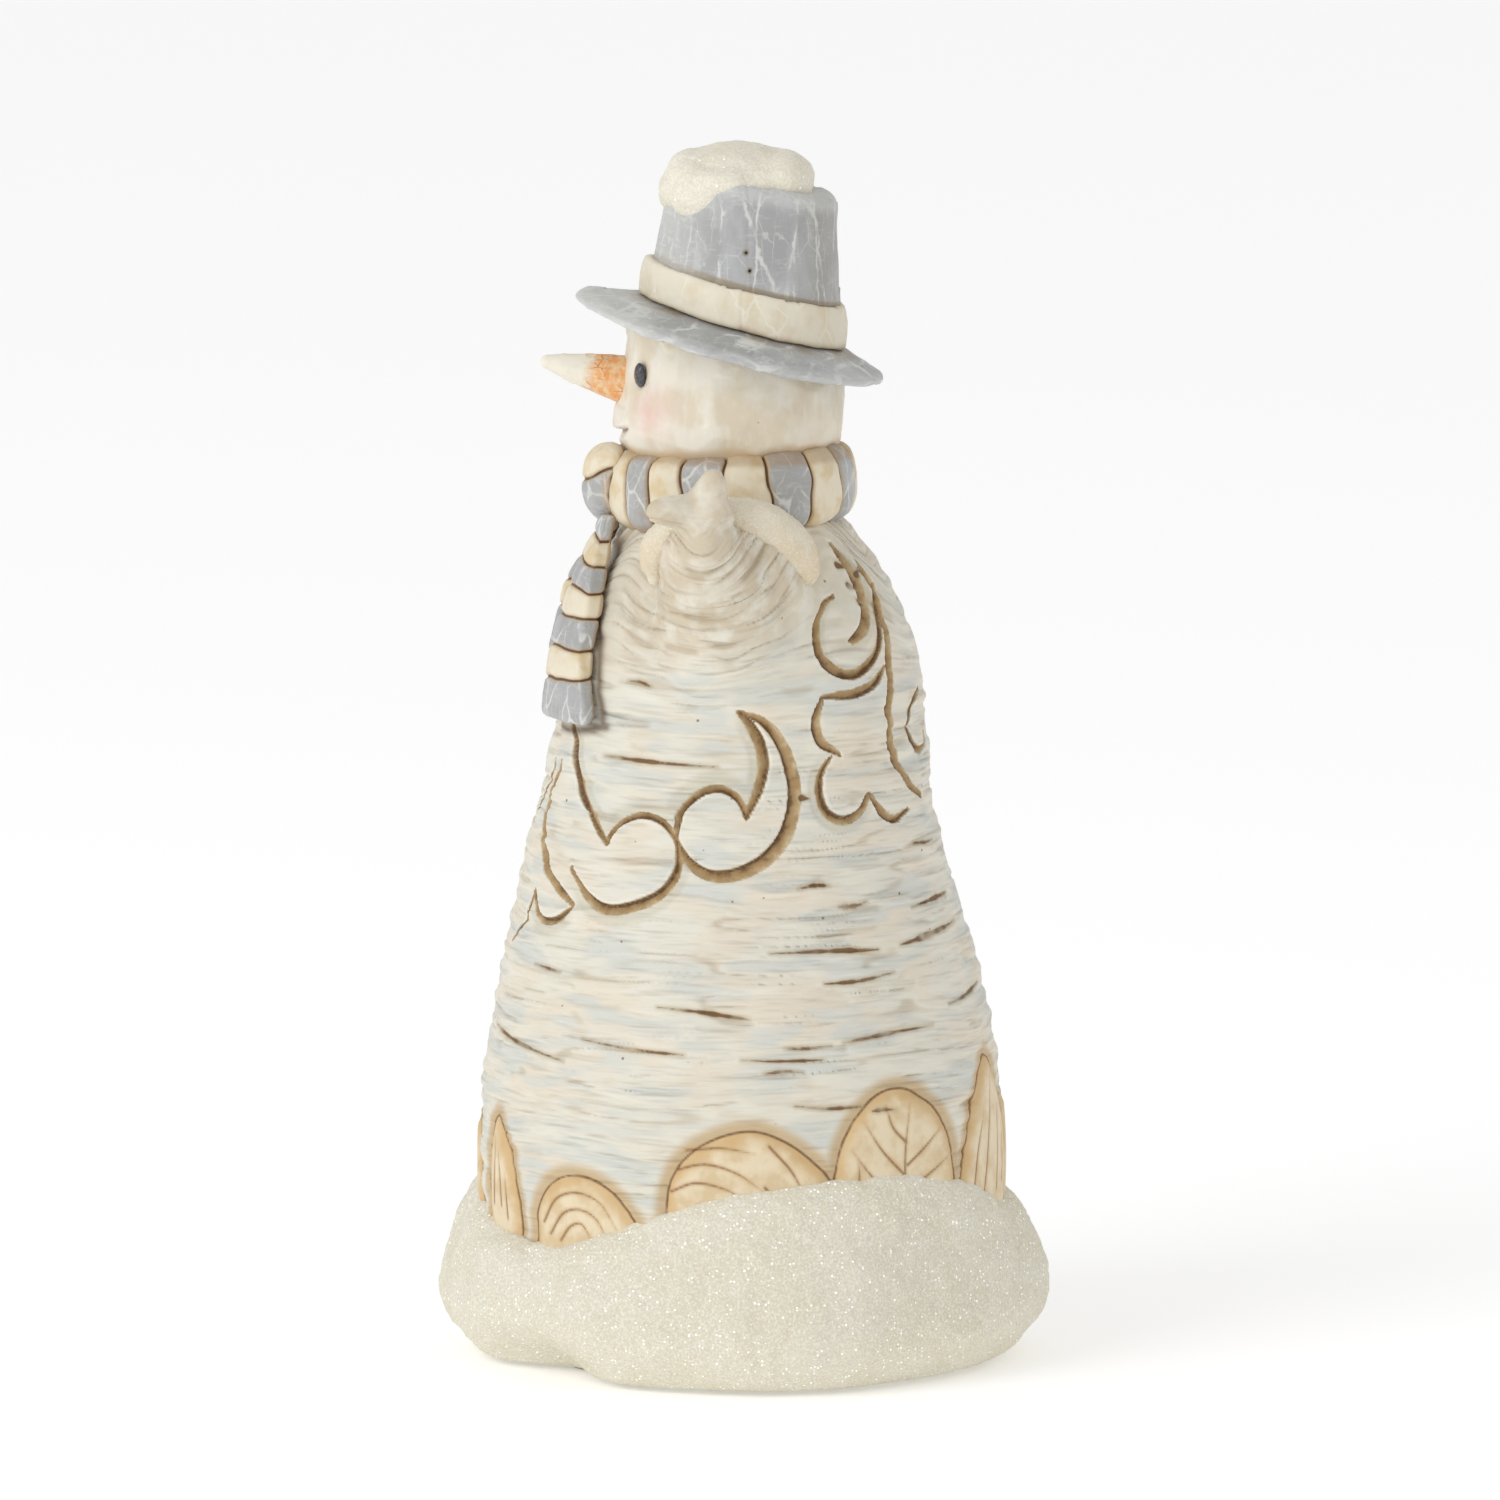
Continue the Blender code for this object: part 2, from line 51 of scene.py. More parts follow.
SIDES = ((1, "left"), (-1, "right"))

# The log: height, front face (y), back face (y)
BODY_PROFILE = [(10, -46.8, 45.6), (24, -47.6, 46.4), (38, -48.0, 46.8), (50, -47.3, 46.0),
                (66, -44.8, 43.3), (82, -41.6, 38.6), (96, -38.4, 35.0), (110, -35.4, 32.8),
                (124, -32.6, 31.6), (135, -29.2, 28.6), (143, -25.8, 24.6), (149, -23.0, 20.2),
                (152, -21.4, 17.8), (155, -17.0, 13.0)]
BODY_FLATTEN = 0.94
LOG_FOOT, LOG_TOP = 20.0, 155.0
BARK_VOXEL = 0.4

# Branch arms: x, y, z and radius; each flares where it leaves the log
BRANCH = [(13, -2.6, 127, 17.0), (22, -3.5, 134.5, 14.0), (29, -4.8, 142.5, 11.0),
          (35, -6.4, 148.5, 8.4), (40.5, -7.4, 152.4, 6.4)]
FRONT_TWIG = [(36.5, -7.4, 153.6, 5.4), (39.5, -9.8, 156.8, 4.1), (41.5, -12.8, 157.9, 2.9),
              (42.5, -15.2, 157.9, 2.4)]
SHOULDER = [(14, 2.0, 132, 14.0), (21, 1.8, 140, 11.5), (27, 0.8, 146.2, 8.2), (31, -1.6, 151.0, 5.8)]
TOP_TWIG = [(38.0, -6.8, 154.5, 5.2), (39.5, -6.6, 158.8, 4.2), (40.2, -5.9, 162.0, 3.0),
            (40.6, -5.3, 164.2, 2.2)]
ARM_CUT = (33.5, -6.0, 147.0)  # where the arm's own piece starts
ARM_AXIS = (0.72, -0.09, 0.69)


# --- Random fields --------------------------------------------------------------------------------

def scattered(cells, seed):
    """A random value from -1 to 1 for each whole-number cell."""
    cells = cells.astype(np.int64).astype(np.uint32)
    mixed = (cells[..., 0] * np.uint32(374761393) + cells[..., 1] * np.uint32(668265263)
             + cells[..., 2] * np.uint32(2246822519) + np.uint32(seed * 7919 + 17))
    mixed = (mixed ^ (mixed >> np.uint32(13))) * np.uint32(1274126177)
    mixed = mixed ^ (mixed >> np.uint32(16))
    return (mixed & np.uint32(0xFFFF)) / 32767.5 - 1


def noise(points, size, seed):
    """Smooth random values from -1 to 1 whose swells are about size mm across."""
    places = points / np.asarray(size, float) + seed * 3.7
    cell = np.floor(places)
    part = places - cell
    blend = part * part * part * (part * (part * 6 - 15) + 10)
    total = np.zeros(len(points))
    for corner in itertools.product((0, 1), repeat=3):
        weight = np.prod(np.where(corner, blend, 1 - blend), axis=1)
        total += weight * scattered(cell + corner, seed)
    return total


def rough(points, size, seed, octaves=3):
    """Noise with noise of half the size and height added to it, and so on."""
    return sum(noise(points, size / 2 ** i, seed + i) / 2 ** i for i in range(octaves))


def creases(points, size, seed, width):
    """1 along thin winding lines and 0 between them."""
    return bell(noise(points, size, seed), width)


# --- Curves ---------------------------------------------------------------------------------------

def spline(rows, at):
    """Smooth curve through (position, value, ...) rows, read at many positions."""
    rows = np.array(rows, float)
    x, v = rows[:, 0], rows[:, 1:]
    slope = np.gradient(v, x, axis=0)
    at = np.clip(np.asarray(at, float), x[0], x[-1])
    i = np.clip(np.searchsorted(x, at, side="right") - 1, 0, len(x) - 2)
    h = (x[i + 1] - x[i])[..., None]
    t = (at[..., None] - x[i][..., None]) / h
    return ((1 + 2 * t) * (1 - t) ** 2 * v[i] + t * (1 - t) ** 2 * h * slope[i]
            + t * t * (3 - 2 * t) * v[i + 1] - t * t * (1 - t) * h * slope[i + 1])


def flowing(points, per_span):
    """Points along a smooth line through a few given ones."""
    points = np.array(points, float)
    if len(points) == 2:
        return points[0] + (points[1] - points[0]) * np.linspace(0, 1, per_span)[:, None]
    steps = np.r_[0, np.cumsum(np.linalg.norm(np.diff(points, axis=0), axis=1) ** 0.5)]
    return spline(np.c_[steps, points], np.linspace(0, steps[-1], per_span * (len(points) - 1)))


def bell(x, width):
    """1 where x is 0, falling away on both sides over the width."""
    return np.exp(-(x / width) ** 2)


def step(low, high, x):
    """0 at low, 1 at high, smooth between."""
    t = np.clip((x - low) / (high - low), 0, 1)
    return t * t * (3 - 2 * t)


def oval(profile, height):
    """Half-depth and middle (y) at a height, from rows of height, front and back."""
    front, back = np.moveaxis(spline(profile, height), -1, 0)
    return (back - front) / 2, (back + front) / 2


def full_turn(count):
    return np.linspace(0, 2 * math.pi, count, endpoint=False)


def thinned(count):
    """How many rows or columns a mesh gets."""
    return int(count / COARSE)


def xyz(x, y, z):
    """Points from their coordinates, each spread over the shape of the others."""
    return np.stack(np.broadcast_arrays(x, y, z), axis=-1)


# --- Meshes ---------------------------------------------------------------------------------------

def add_object(name, data):
    obj = bpy.data.objects.new(name, data)
    bpy.context.scene.collection.objects.link(obj)
    return obj


def make_object(name, points, faces):
    mesh = bpy.data.meshes.new(name)
    mesh.from_pydata(np.asarray(points) * MM, [], faces)
    mesh.update()
    mesh.shade_smooth()
    return add_object(name, mesh)


def write_layers(obj, **layers):
    """Writes values on each point, for the materials to read."""
    for name, values in layers.items():
        layer = obj.data.attributes.new(name, "FLOAT", "POINT")
        layer.data.foreach_set("value", np.asarray(values, np.float32))


def grid_faces(rows, columns, closed):
    """Quads over rows of points, each row a closed ring. closed: the last row meets the first."""
    r = np.arange(rows if closed else rows - 1)[:, None] * columns
    n = (np.arange(1, len(r) + 1) % rows)[:, None] * columns
    c = np.arange(columns)[None, :]
    k = (c + 1) % columns
    return np.stack([r + c, r + k, n + k, n + c], axis=-1).reshape(-1, 4)


def shell(name, rings, closed=False):
    """A solid over an array of rings (row, column, xyz), capped at the ends unless it closes up."""
    rows, columns = rings.shape[:2]
    points = rings.reshape(-1, 3)
    faces = grid_faces(rows, columns, closed).tolist()
    if not closed:
        ends = [rings[0].mean(axis=0), rings[-1].mean(axis=0)]
        points = np.vstack([points, ends])
        last = (rows - 1) * columns
        for j in range(columns):
            k = (j + 1) % columns
            faces.append((len(points) - 2, k, j))
            faces.append((len(points) - 1, last + j, last + k))
    obj = make_object(name, points, faces)
    face_out(obj.data)
    return obj


def face_out(mesh):
    """Turns the faces over if they look inwards."""
    cage = bmesh.new()
    cage.from_mesh(mesh)
    if cage.calc_volume(signed=True) < 0:
        bmesh.ops.reverse_faces(cage, faces=cage.faces)
        cage.to_mesh(mesh)
    cage.free()


def read_triples(items, name):
    flat = np.empty(len(items) * 3, np.float32)
    items.foreach_get(name, flat)
    return flat.reshape(-1, 3).astype(float)


def points_of(obj):
    return read_triples(obj.data.vertices, "co") / MM


def normals_of(obj):
    return read_triples(obj.data.vertex_normals, "vector")


def set_points(obj, points):
    obj.data.vertices.foreach_set("co", (points * MM).astype(np.float32).ravel())
    obj.data.update()


def raise_surface(obj, height):
    """Moves each point along its normal by height mm."""
    set_points(obj, points_of(obj) + normals_of(obj) * np.asarray(height)[:, None])


def relax(obj, rounds):
    """Evens out a mesh by moving each point towards the middle of its neighbours."""
    edges = np.empty(len(obj.data.edges) * 2, np.int32)
    obj.data.edges.foreach_get("vertices", edges)
    a, b = edges.reshape(-1, 2).T
    points = points_of(obj)
    count = np.bincount(np.r_[a, b], minlength=len(points))[:, None]
    for _ in range(rounds):
        total = np.stack([np.bincount(a, points[b, i], len(points))
                          + np.bincount(b, points[a, i], len(points)) for i in range(3)], axis=1)
        points += 0.5 * (total / count - points)
    set_points(obj, points)


def tube_points(path):
    """Rings along a path of (x, y, z, radius) with a rounded far end."""
    line = flowing(path, 12)
    around = full_turn(40)[:, None]
    rings = []
    side = np.array([1.0, 0.3, 0.2])
    for i, (x, y, z, radius) in enumerate(line):
        along = line[min(i + 1, len(line) - 1)][:3] - line[max(i - 1, 0)][:3]
        along /= np.linalg.norm(along)
        side = side - along * (side @ along)
        side /= np.linalg.norm(side)
        up = np.cross(along, side)
        ends = np.sin(np.linspace(0, 0.47 * math.pi, 7)) if i == len(line) - 1 else [0.0]
        for end in ends:
            share = math.sqrt(1 - end * end)
            rings.append(np.array([x, y, z]) + along * end * radius * 0.8
                         + radius * share * (np.cos(around) * side + np.sin(around) * up))
    return np.array(rings)


def fuse(name, parts, voxel, rounds):
    """One closed mesh over parts that overlap, evened out at their joins."""
    cage = bmesh.new()
    for part in parts:
        cage.from_mesh(part.data)
        bpy.data.objects.remove(part)
    mesh = bpy.data.meshes.new(f"{name}_rough")
    cage.to_mesh(mesh)
    cage.free()
    obj = add_object(name, mesh)
    remesh = obj.modifiers.new("skin", "REMESH")
    remesh.mode = "VOXEL"
    remesh.voxel_size = voxel * COARSE * MM
    remesh.use_smooth_shade = True
    made = bpy.data.meshes.new_from_object(obj.evaluated_get(bpy.context.evaluated_depsgraph_get()))
    obj.modifiers.clear()
    obj.data = made
    made.name = name
    bpy.data.meshes.remove(mesh)
    relax(obj, rounds)
    made.shade_smooth()
    return obj


def facets(obj, size, strength, seed, stretch=(1, 1, 1)):
    """How far each point moves to lie on flat knife cuts about size mm wide.

    Up to three cuts meet near a point. No point moves more than 0.09 of the size.
    """
    points, normals = points_of(obj) * stretch, normals_of(obj)
    count = len(points)
    order = np.argsort(scattered(np.c_[np.arange(count), np.zeros((count, 2))], seed))
    grid = {}
    centres = []
    for i in order[: 60 * max(count // 400, 50)]:
        key = tuple(np.floor(points[i] / size).astype(int))
        near = [j for a, b, c in itertools.product((-1, 0, 1), repeat=3)
                for j in grid.get((key[0] + a, key[1] + b, key[2] + c), [])]
        if all(np.sum((points[i] - points[j]) ** 2) > (0.8 * size) ** 2 for j in near):
            grid.setdefault(key, []).append(i)
            centres.append(i)
    tree = kdtree.KDTree(len(centres))
    for i in centres:
        tree.insert(points[i], int(i))
    tree.balance()
    nearest = np.array([[found[1] for found in tree.find_n(p, 3)] for p in points])
    out = np.sum((points[:, None] - points[nearest]) * normals[nearest], axis=2)
    facing = np.clip(np.sum(normals[:, None] * normals[nearest], axis=2), 0.4, 1)
    lift = np.min(-out / facing, axis=1)
    return np.clip(lift, -0.09 * size, 0.09 * size) * strength


# --- Materials ------------------------------------------------------------------------------------

# Paint colours as they look, 0 to 255
BARK_CREAM = 225, 221, 206
BARK_PINK = 226, 216, 198
BARK_COOL = 208, 210, 203
BARK_CHALK = 237, 232, 218
BARK_SHADE = 184, 174, 150
BARK_DARKER_AND_SHADE = 203, 188, 162
BARK_CREASE = 172, 152, 120
SPECK = 120, 92, 60
LEAF_SPRAY = 200, 174, 132
LEAF_PALE = 230, 214, 183
LEAF_TAN = 216, 193, 154
LEAF_EDGE = 208, 172, 116
LEAF_LINE = 128, 92, 54
VEIN_BLEED = 196, 160, 108
VEIN = 138, 98, 56
LEAF_INK = 122, 84, 46
SHOULDER_SHADE = 192, 184, 160
THIN_STAIN = 200, 181, 144
STAIN = 166, 136, 92
DEEP_STAIN = 120, 88, 52
RIM_HIGHLIGHT = 240, 235, 223
SCROLL_INK = 104, 74, 42
CRACK_EDGE = 178, 160, 124
CRACK = 122, 90, 54
PAINTED_SHADOW_BROWN = 98, 74, 46
GRIT_HOLLOW_SHADE = 196, 188, 164
GRIT_PEAK_HIGHLIGHT = 246, 243, 232
GLITTER_GLINT = 255, 255, 252
GREY = 163, 164, 163
PALE_GREY = 180, 181, 181
BRUSHED_GREY = 206, 207, 205
SCUFFED_GREY = 204, 204, 200
LONG_CRACK = 222, 222, 217
SHORT_CRACK = 216, 216, 212
HAT_STAIN_AND_SHADE = 146, 128, 98
PINHOLE = 42, 40, 38
WORN_AND_LIT_GREY = 206, 206, 203
RUBBED_AND_LIT_GREY = 216, 215, 210
CREAM = 229, 219, 196
TAN_CREAM = 217, 197, 158
PALE_CREAM = 232, 226, 210
RIBBON_CREAM = 227, 223, 208
RIBBON_CRACK = 240, 236, 222
RIBBON_STAIN_AND_SHADE = 150, 122, 80
SCARF_STAIN = 168, 132, 84
CUT_BLEED = 200, 168, 120
CUT_INK = 104, 74, 44
FACE = 232, 226, 212
FACE_TAN = 221, 209, 186
FACE_STREAK = 240, 235, 222
BLUSH = 230, 180, 172
FACE_STAIN_AND_SHADE = 204, 176, 134
FACE_SPECK = 126, 100, 70
MOUTH_INK = 132, 92, 58
ORANGE = 234, 162, 94
PALE_ORANGE = 234, 202, 158
ORANGE_CRACK = 196, 112, 58
CARROT_TIP = 236, 230, 214
COAL = 34, 34, 38
COAL_SHINE = 72, 72, 76
LID = 206, 194, 172
FELT = 176, 172, 160
PALE_FELT = 206, 202, 190
WOOD = 186, 148, 104
PALE_WOOD = 214, 182, 140
FLOOR = 250, 250, 250


def linear(colour):
    """A paint colour in the linear values that a shader takes."""
    values = np.array(colour) / 255
    return tuple(np.where(values <= 0.04045, values / 12.92, ((values + 0.055) / 1.055) ** 2.4)) + (1.0,)


class Paint:
    """A material under construction: each call adds a node and gives back its output."""

    def __init__(self, name, roughness):
        self.material = bpy.data.materials.new(name)
        self.material.use_nodes = True
        self.nodes = self.material.node_tree.nodes
        self.links = self.material.node_tree.links
        self.shader = self.nodes["Principled BSDF"]
        self.shader.inputs["Roughness"].default_value = roughness
        self.place = self.nodes.new("ShaderNodeTexCoord").outputs["Object"]

    def feed(self, socket, value):
        """Links an output to a socket, or sets a number or a paint colour on it."""
        if isinstance(value, bpy.types.NodeSocket):
            self.links.new(value, socket)
        else:
            socket.default_value = linear(value) if isinstance(value, tuple) else value

    def layer(self, name):
        """Values written on the mesh by write_layers."""
        node = self.nodes.new("ShaderNodeAttribute")
        node.attribute_name = name
        return node.outputs["Fac"]

    def math(self, operation, a, b=0.0, clamp=False):
        node = self.nodes.new("ShaderNodeMath")
        node.operation = operation
        node.use_clamp = clamp
        self.feed(node.inputs[0], a)
        self.feed(node.inputs[1], b)
        return node.outputs[0]

    def times(self, a, b, clamp=False):
        return self.math("MULTIPLY", a, b, clamp)

    def plus(self, a, b):
        return self.math("ADD", a, b)

    def minus(self, a, b):
        return self.math("SUBTRACT", a, b)

    def between(self, value, low, high):
        """0 at low, 1 at high, smooth between."""
        node = self.nodes.new("ShaderNodeMapRange")
        node.interpolation_type = "SMOOTHSTEP"
        self.feed(node.inputs["Value"], value)
        for name, number in (("From Min", low), ("From Max", high), ("To Min", 0.0), ("To Max", 1.0)):
            node.inputs[name].default_value = number
        return node.outputs["Result"]

    def mix(self, share, a, b):
        node = self.nodes.new("ShaderNodeMix")
        node.data_type = "RGBA"
        for socket, value in ((0, share), (6, a), (7, b)):
            self.feed(node.inputs[socket], value)
        return node.outputs[2]

    def over(self, colour, coat, mask, strength):
        """A colour with a coat over it where mask is 1."""
        return self.mix(self.times(mask, strength), colour, coat)

    def scaled(self, size, stretch, where):
        node = self.nodes.new("ShaderNodeVectorMath")
        node.operation = "MULTIPLY"
        self.links.new(where or self.place, node.inputs[0])
        node.inputs[1].default_value = [1 / (size * MM * s) for s in stretch]
        return node.outputs[0]

    def noise(self, size, detail, stretch=(1, 1, 1), where=None, roughness=0.55):
        """Noise with swells about size mm across, longer along an axis where stretch is over 1."""
        node = self.nodes.new("ShaderNodeTexNoise")
        node.inputs["Scale"].default_value = 1.0
        node.inputs["Detail"].default_value = detail
        node.inputs["Roughness"].default_value = roughness
        self.links.new(self.scaled(size, stretch, where), node.inputs["Vector"])
        return node.outputs["Fac"]

    def patches(self, size, detail, low, high, stretch=(1, 1, 1)):
        """Soft-edged patches of noise: 0 where it is under low, 1 where it is over high."""
        return self.between(self.noise(size, detail, stretch), low, high)

    def cells(self, size, feature="F1", stretch=(1, 1, 1), where=None, output="Distance"):
        node = self.nodes.new("ShaderNodeTexVoronoi")
        node.feature = feature
        node.inputs["Scale"].default_value = 1.0
        self.links.new(self.scaled(size, stretch, where), node.inputs["Vector"])
        return node.outputs[output]

    def bump(self, height, distance, strength, under=None):
        node = self.nodes.new("ShaderNodeBump")
        node.inputs["Strength"].default_value = strength
        node.inputs["Distance"].default_value = distance * MM
        self.links.new(height, node.inputs["Height"])
        if under is not None:
            self.links.new(under, node.inputs["Normal"])
        return node.outputs["Normal"]

    def done(self, colour, normal=None):
        self.feed(self.shader.inputs["Base Color"], colour)
        if normal is not None:
            self.links.new(normal, self.shader.inputs["Normal"])
        return self.material


def along_bark(p):
    """Places on the log, with the bark level for a height so that strokes follow the bark lines."""
    split = p.nodes.new("ShaderNodeSeparateXYZ")
    p.links.new(p.place, split.inputs[0])
    join = p.nodes.new("ShaderNodeCombineXYZ")
    p.links.new(split.outputs[0], join.inputs[0])
    p.links.new(split.outputs[1], join.inputs[1])
    p.links.new(p.times(p.layer("level"), MM), join.inputs[2])
    return join.outputs[0]


def leaf_coats(p, colour, leaf):
    """Tan leaves with darker edges, brown outlines and veins, and the sprayed edge round them."""
    spray = p.times(p.between(leaf, -3.2, -0.9), p.between(leaf, 0.8, 0.0))
    colour = p.over(colour, LEAF_SPRAY, spray, 0.9)
    tan = p.mix(p.patches(4, 3, 0.38, 0.66), LEAF_PALE, LEAF_TAN)
    inner = p.minus(leaf, p.times(p.noise(5, 2), 5.0))
    tan = p.over(tan, LEAF_EDGE, p.between(inner, 1.0, -2.2), 0.8)
    colour = p.mix(p.between(leaf, -0.1, 0.1), colour, tan)
    outline = p.times(p.between(p.math("ABSOLUTE", leaf), 0.42, 0.1), p.patches(6, 2, 0.3, 0.5))
    colour = p.over(colour, LEAF_LINE, outline, 0.6)
    vein = p.layer("vein")
    colour = p.over(colour, VEIN_BLEED, p.between(vein, 0.9, 0.3), 0.35)
    return p.over(colour, VEIN, p.between(vein, 0.42, 0.08), 0.8)


def scroll_coats(p, colour, leaf, wash):
    """Brown stain that the brush left in the scrolls, painted shade on the shoulder beyond them, a painted
    highlight along their steep rim, and the dark lines.
    """
    # Painted shade on the lowered shoulder beyond each scroll's ramp
    colour = p.over(colour, SHOULDER_SHADE, p.layer("halo"), 0.4)
    depth = p.plus(wash, p.times(p.minus(p.noise(2.2, 3), 0.5), 1.3))
    stain = p.mix(p.between(depth, 0.15, 0.7), THIN_STAIN, STAIN)
    stain = p.mix(p.between(depth, 0.66, 1.05), stain, DEEP_STAIN)
    colour = p.mix(p.between(wash, 0.03, 0.35), colour, stain)
    ink = p.layer("ink")
    bare = p.times(p.between(wash, 0.25, 0.0), p.between(leaf, -1.6, -3.0))
    # Painted highlight along the top of each scroll's steep wall
    colour = p.over(colour, RIM_HIGHLIGHT, p.times(p.between(ink, 1.2, 0.5), bare), 0.5)
    worn = p.times(p.patches(1.6, 3, 0.14, 0.42), p.between(ink, 0.4, 0.1))
    return p.over(colour, p.mix(p.between(leaf, -2.0, -1.0), SCROLL_INK, LEAF_INK), worn, 0.88)


def bark_paint():
    """Cream and pale blue-grey strokes along the bark, with brown stain washed into the carving."""
    p = Paint("birch_bark_paint", 0.55)
    leaf, wash, crack, dull = (p.layer(name) for name in ("leaf", "wash", "crack", "dull"))
    along = along_bark(p)

    def strokes(size, detail, length, roughness=0.55):
        return p.noise(size, detail, (length, length, 1), along, roughness)

    colour = p.mix(p.between(strokes(8, 2, 1.8), 0.42, 0.66), BARK_CREAM, BARK_PINK)
    chisel = strokes(2.4, 2, 7, 0.42)
    cool = p.between(p.plus(strokes(5, 2, 3), p.minus(0.5, chisel)), 0.46, 0.7)
    # Less blue-grey, a darker coat and darker creases near the arms, and painted shade towards the top of
    # the log
    colour = p.mix(p.times(cool, p.minus(0.8, dull), clamp=True), colour, BARK_COOL)
    colour = p.over(colour, BARK_CHALK, p.between(strokes(1.5, 1, 8), 0.55, 0.74), 0.35)
    colour = p.over(colour, BARK_SHADE, p.between(strokes(1.0, 1, 12), 0.6, 0.78), 0.22)
    colour = p.over(colour, BARK_DARKER_AND_SHADE, p.times(dull, p.patches(5, 4, 0.3, 0.6)), 0.85)
    crease = p.between(p.layer("relief"), 0.15, 0.95)
    colour = p.over(colour, BARK_CREASE, crease, p.plus(0.38, p.times(dull, 0.25)))
    colour = p.over(colour, SPECK, p.between(p.cells(6.5), 0.05, 0.032), 0.8)
    colour = leaf_coats(p, colour, leaf)
    colour = scroll_coats(p, colour, leaf, wash)
    colour = p.over(colour, CRACK_EDGE, p.between(crack, 0.9, -0.1), 0.5)
    colour = p.over(colour, CRACK, p.between(crack, 0.22, -0.1), p.patches(7, 2, 0.26, 0.5))
    # Painted shadow: dark brown beside and under the scarf ends
    colour = p.over(colour, PAINTED_SHADOW_BROWN, p.layer("smudge"), 0.8)
    grain = p.bump(strokes(0.7, 2, 8), 0.14, 0.35)
    carved = p.times(p.minus(chisel, 0.5), p.between(leaf, 0.8, -0.6))
    carved = p.times(carved, p.between(wash, 0.6, 0.0))
    return p.done(colour, p.bump(carved, 2.0, 1.0, grain))


def snow_paint(name, colour, shade, bare):
    """Off-white grit with glitter flakes in it, some of them painted as bright glints that glow. bare: the
    share of the grit without glitter.
    """
    flake = 0.62  # mm across
    p = Paint(name, 0.8)
    base = p.mix(p.patches(11, 3, 0.42, 0.62), colour, shade)
    grit = p.noise(0.45, 3)
    coarse = (1 - bare) / 0.3
    # Painted shade in the grit's hollows and painted highlight on its peaks, following its bump
    base = p.over(base, GRIT_HOLLOW_SHADE, p.between(grit, 0.6, 0.38), 0.3 * coarse)
    base = p.over(base, GRIT_PEAK_HIGHLIGHT, p.between(grit, 0.5, 0.66), 0.5 * coarse)
    shown = p.between(p.cells(flake), 0.36, 0.24)
    chance = p.cells(flake, output="Color")
    # Glitter flakes painted near white as glints
    lit = p.times(shown, p.between(chance, bare, bare + 0.08))
    base = p.over(base, GLITTER_GLINT, lit, 0.9)
    # Painted glints: the brightest flakes glow
    glint = p.times(shown, p.between(chance, bare + 0.08, bare + 0.12))
    p.feed(p.shader.inputs["Emission Strength"], p.times(glint, 0.35))
    p.feed(p.shader.inputs["Emission Color"], GLITTER_GLINT)
    p.feed(p.shader.inputs["Roughness"], p.minus(0.8, p.times(lit, 0.6)))
    return p.done(base, p.bump(p.plus(grit, p.times(chance, 0.4)), 0.22, 0.3 + 0.5 * coarse))


def crackle(p, colour, pale, size, stretch, strength, width):
    """Thin pale lines where the top coat has cracked. width: of the lines, in cells."""
    wander = p.nodes.new("ShaderNodeTexNoise")
    wander.inputs["Scale"].default_value = 1 / (2.2 * MM)
    p.links.new(p.place, wander.inputs["Vector"])
    bent = p.nodes.new("ShaderNodeVectorMath")
    bent.operation = "MULTIPLY_ADD"
    p.links.new(wander.outputs["Color"], bent.inputs[0])
    bent.inputs[1].default_value = (1.1 * MM,) * 3
    p.links.new(p.place, bent.inputs[2])
    lines = p.cells(size, "DISTANCE_TO_EDGE", stretch, bent.outputs[0])
    shown = p.times(p.between(lines, width, width * 0.2), p.patches(5, 2, 0.36, 0.6))
    return p.over(colour, pale, shown, strength)


def grey_layers(p, stretch, spacing):
    """Satin grey with soft patches and pale cracks. spacing: mm between the long cracks."""
    colour = p.mix(p.patches(6, 4, 0.36, 0.66, stretch), GREY, PALE_GREY)
    colour = p.over(colour, BRUSHED_GREY, p.patches(0.5, 3, 0.54, 0.72, (7, 7, 1)), 0.3)
    colour = p.over(colour, SCUFFED_GREY, p.patches(3.2, 3, 0.58, 0.72, stretch), 0.4)
    long_cells = tuple(share ** 2 for share in stretch)
    colour = crackle(p, colour, LONG_CRACK, spacing, long_cells, 0.75, 0.25 / spacing)
    return crackle(p, colour, SHORT_CRACK, 0.6 * spacing, stretch, 0.5, 0.12 / spacing)


def cream_layers(p):
    colour = p.mix(p.patches(5, 3, 0.42, 0.7), CREAM, TAN_CREAM)
    return p.over(colour, PALE_CREAM, p.patches(2.4, 3, 0.5, 0.72), 0.4)


def stain_and_shade_coat(p, colour, stain, strength):
    """A colour with stain, and on the hat painted shade at the back, where the mesh's stain layer is 1."""
    return p.over(colour, stain, p.between(p.layer("stain"), 0.0, 1.0), strength)


def hat_paint(name, stretch, spacing):
    p = Paint(name, 0.5)
    colour = stain_and_shade_coat(p, grey_layers(p, stretch, spacing), HAT_STAIN_AND_SHADE, 0.75)
    colour = p.mix(p.between(p.layer("stain"), 1.1, 1.5), colour, PINHOLE)
    worn = p.layer("worn")
    # Worn paint on the rims, and painted light where the hat is paler towards the front
    colour = p.over(colour, WORN_AND_LIT_GREY, worn, 0.7)
    rubbed_and_lit = p.times(p.patches(0.7, 3, 0.5, 0.68, (2.5, 2.5, 1)), worn)
    colour = p.over(colour, RUBBED_AND_LIT_GREY, rubbed_and_lit, 0.7)
    height = p.plus(p.noise(0.8, 4, stretch), p.times(p.noise(0.35, 2, (8, 8, 1)), 0.5))
    return p.done(colour, p.bump(height, 0.18, 0.6))


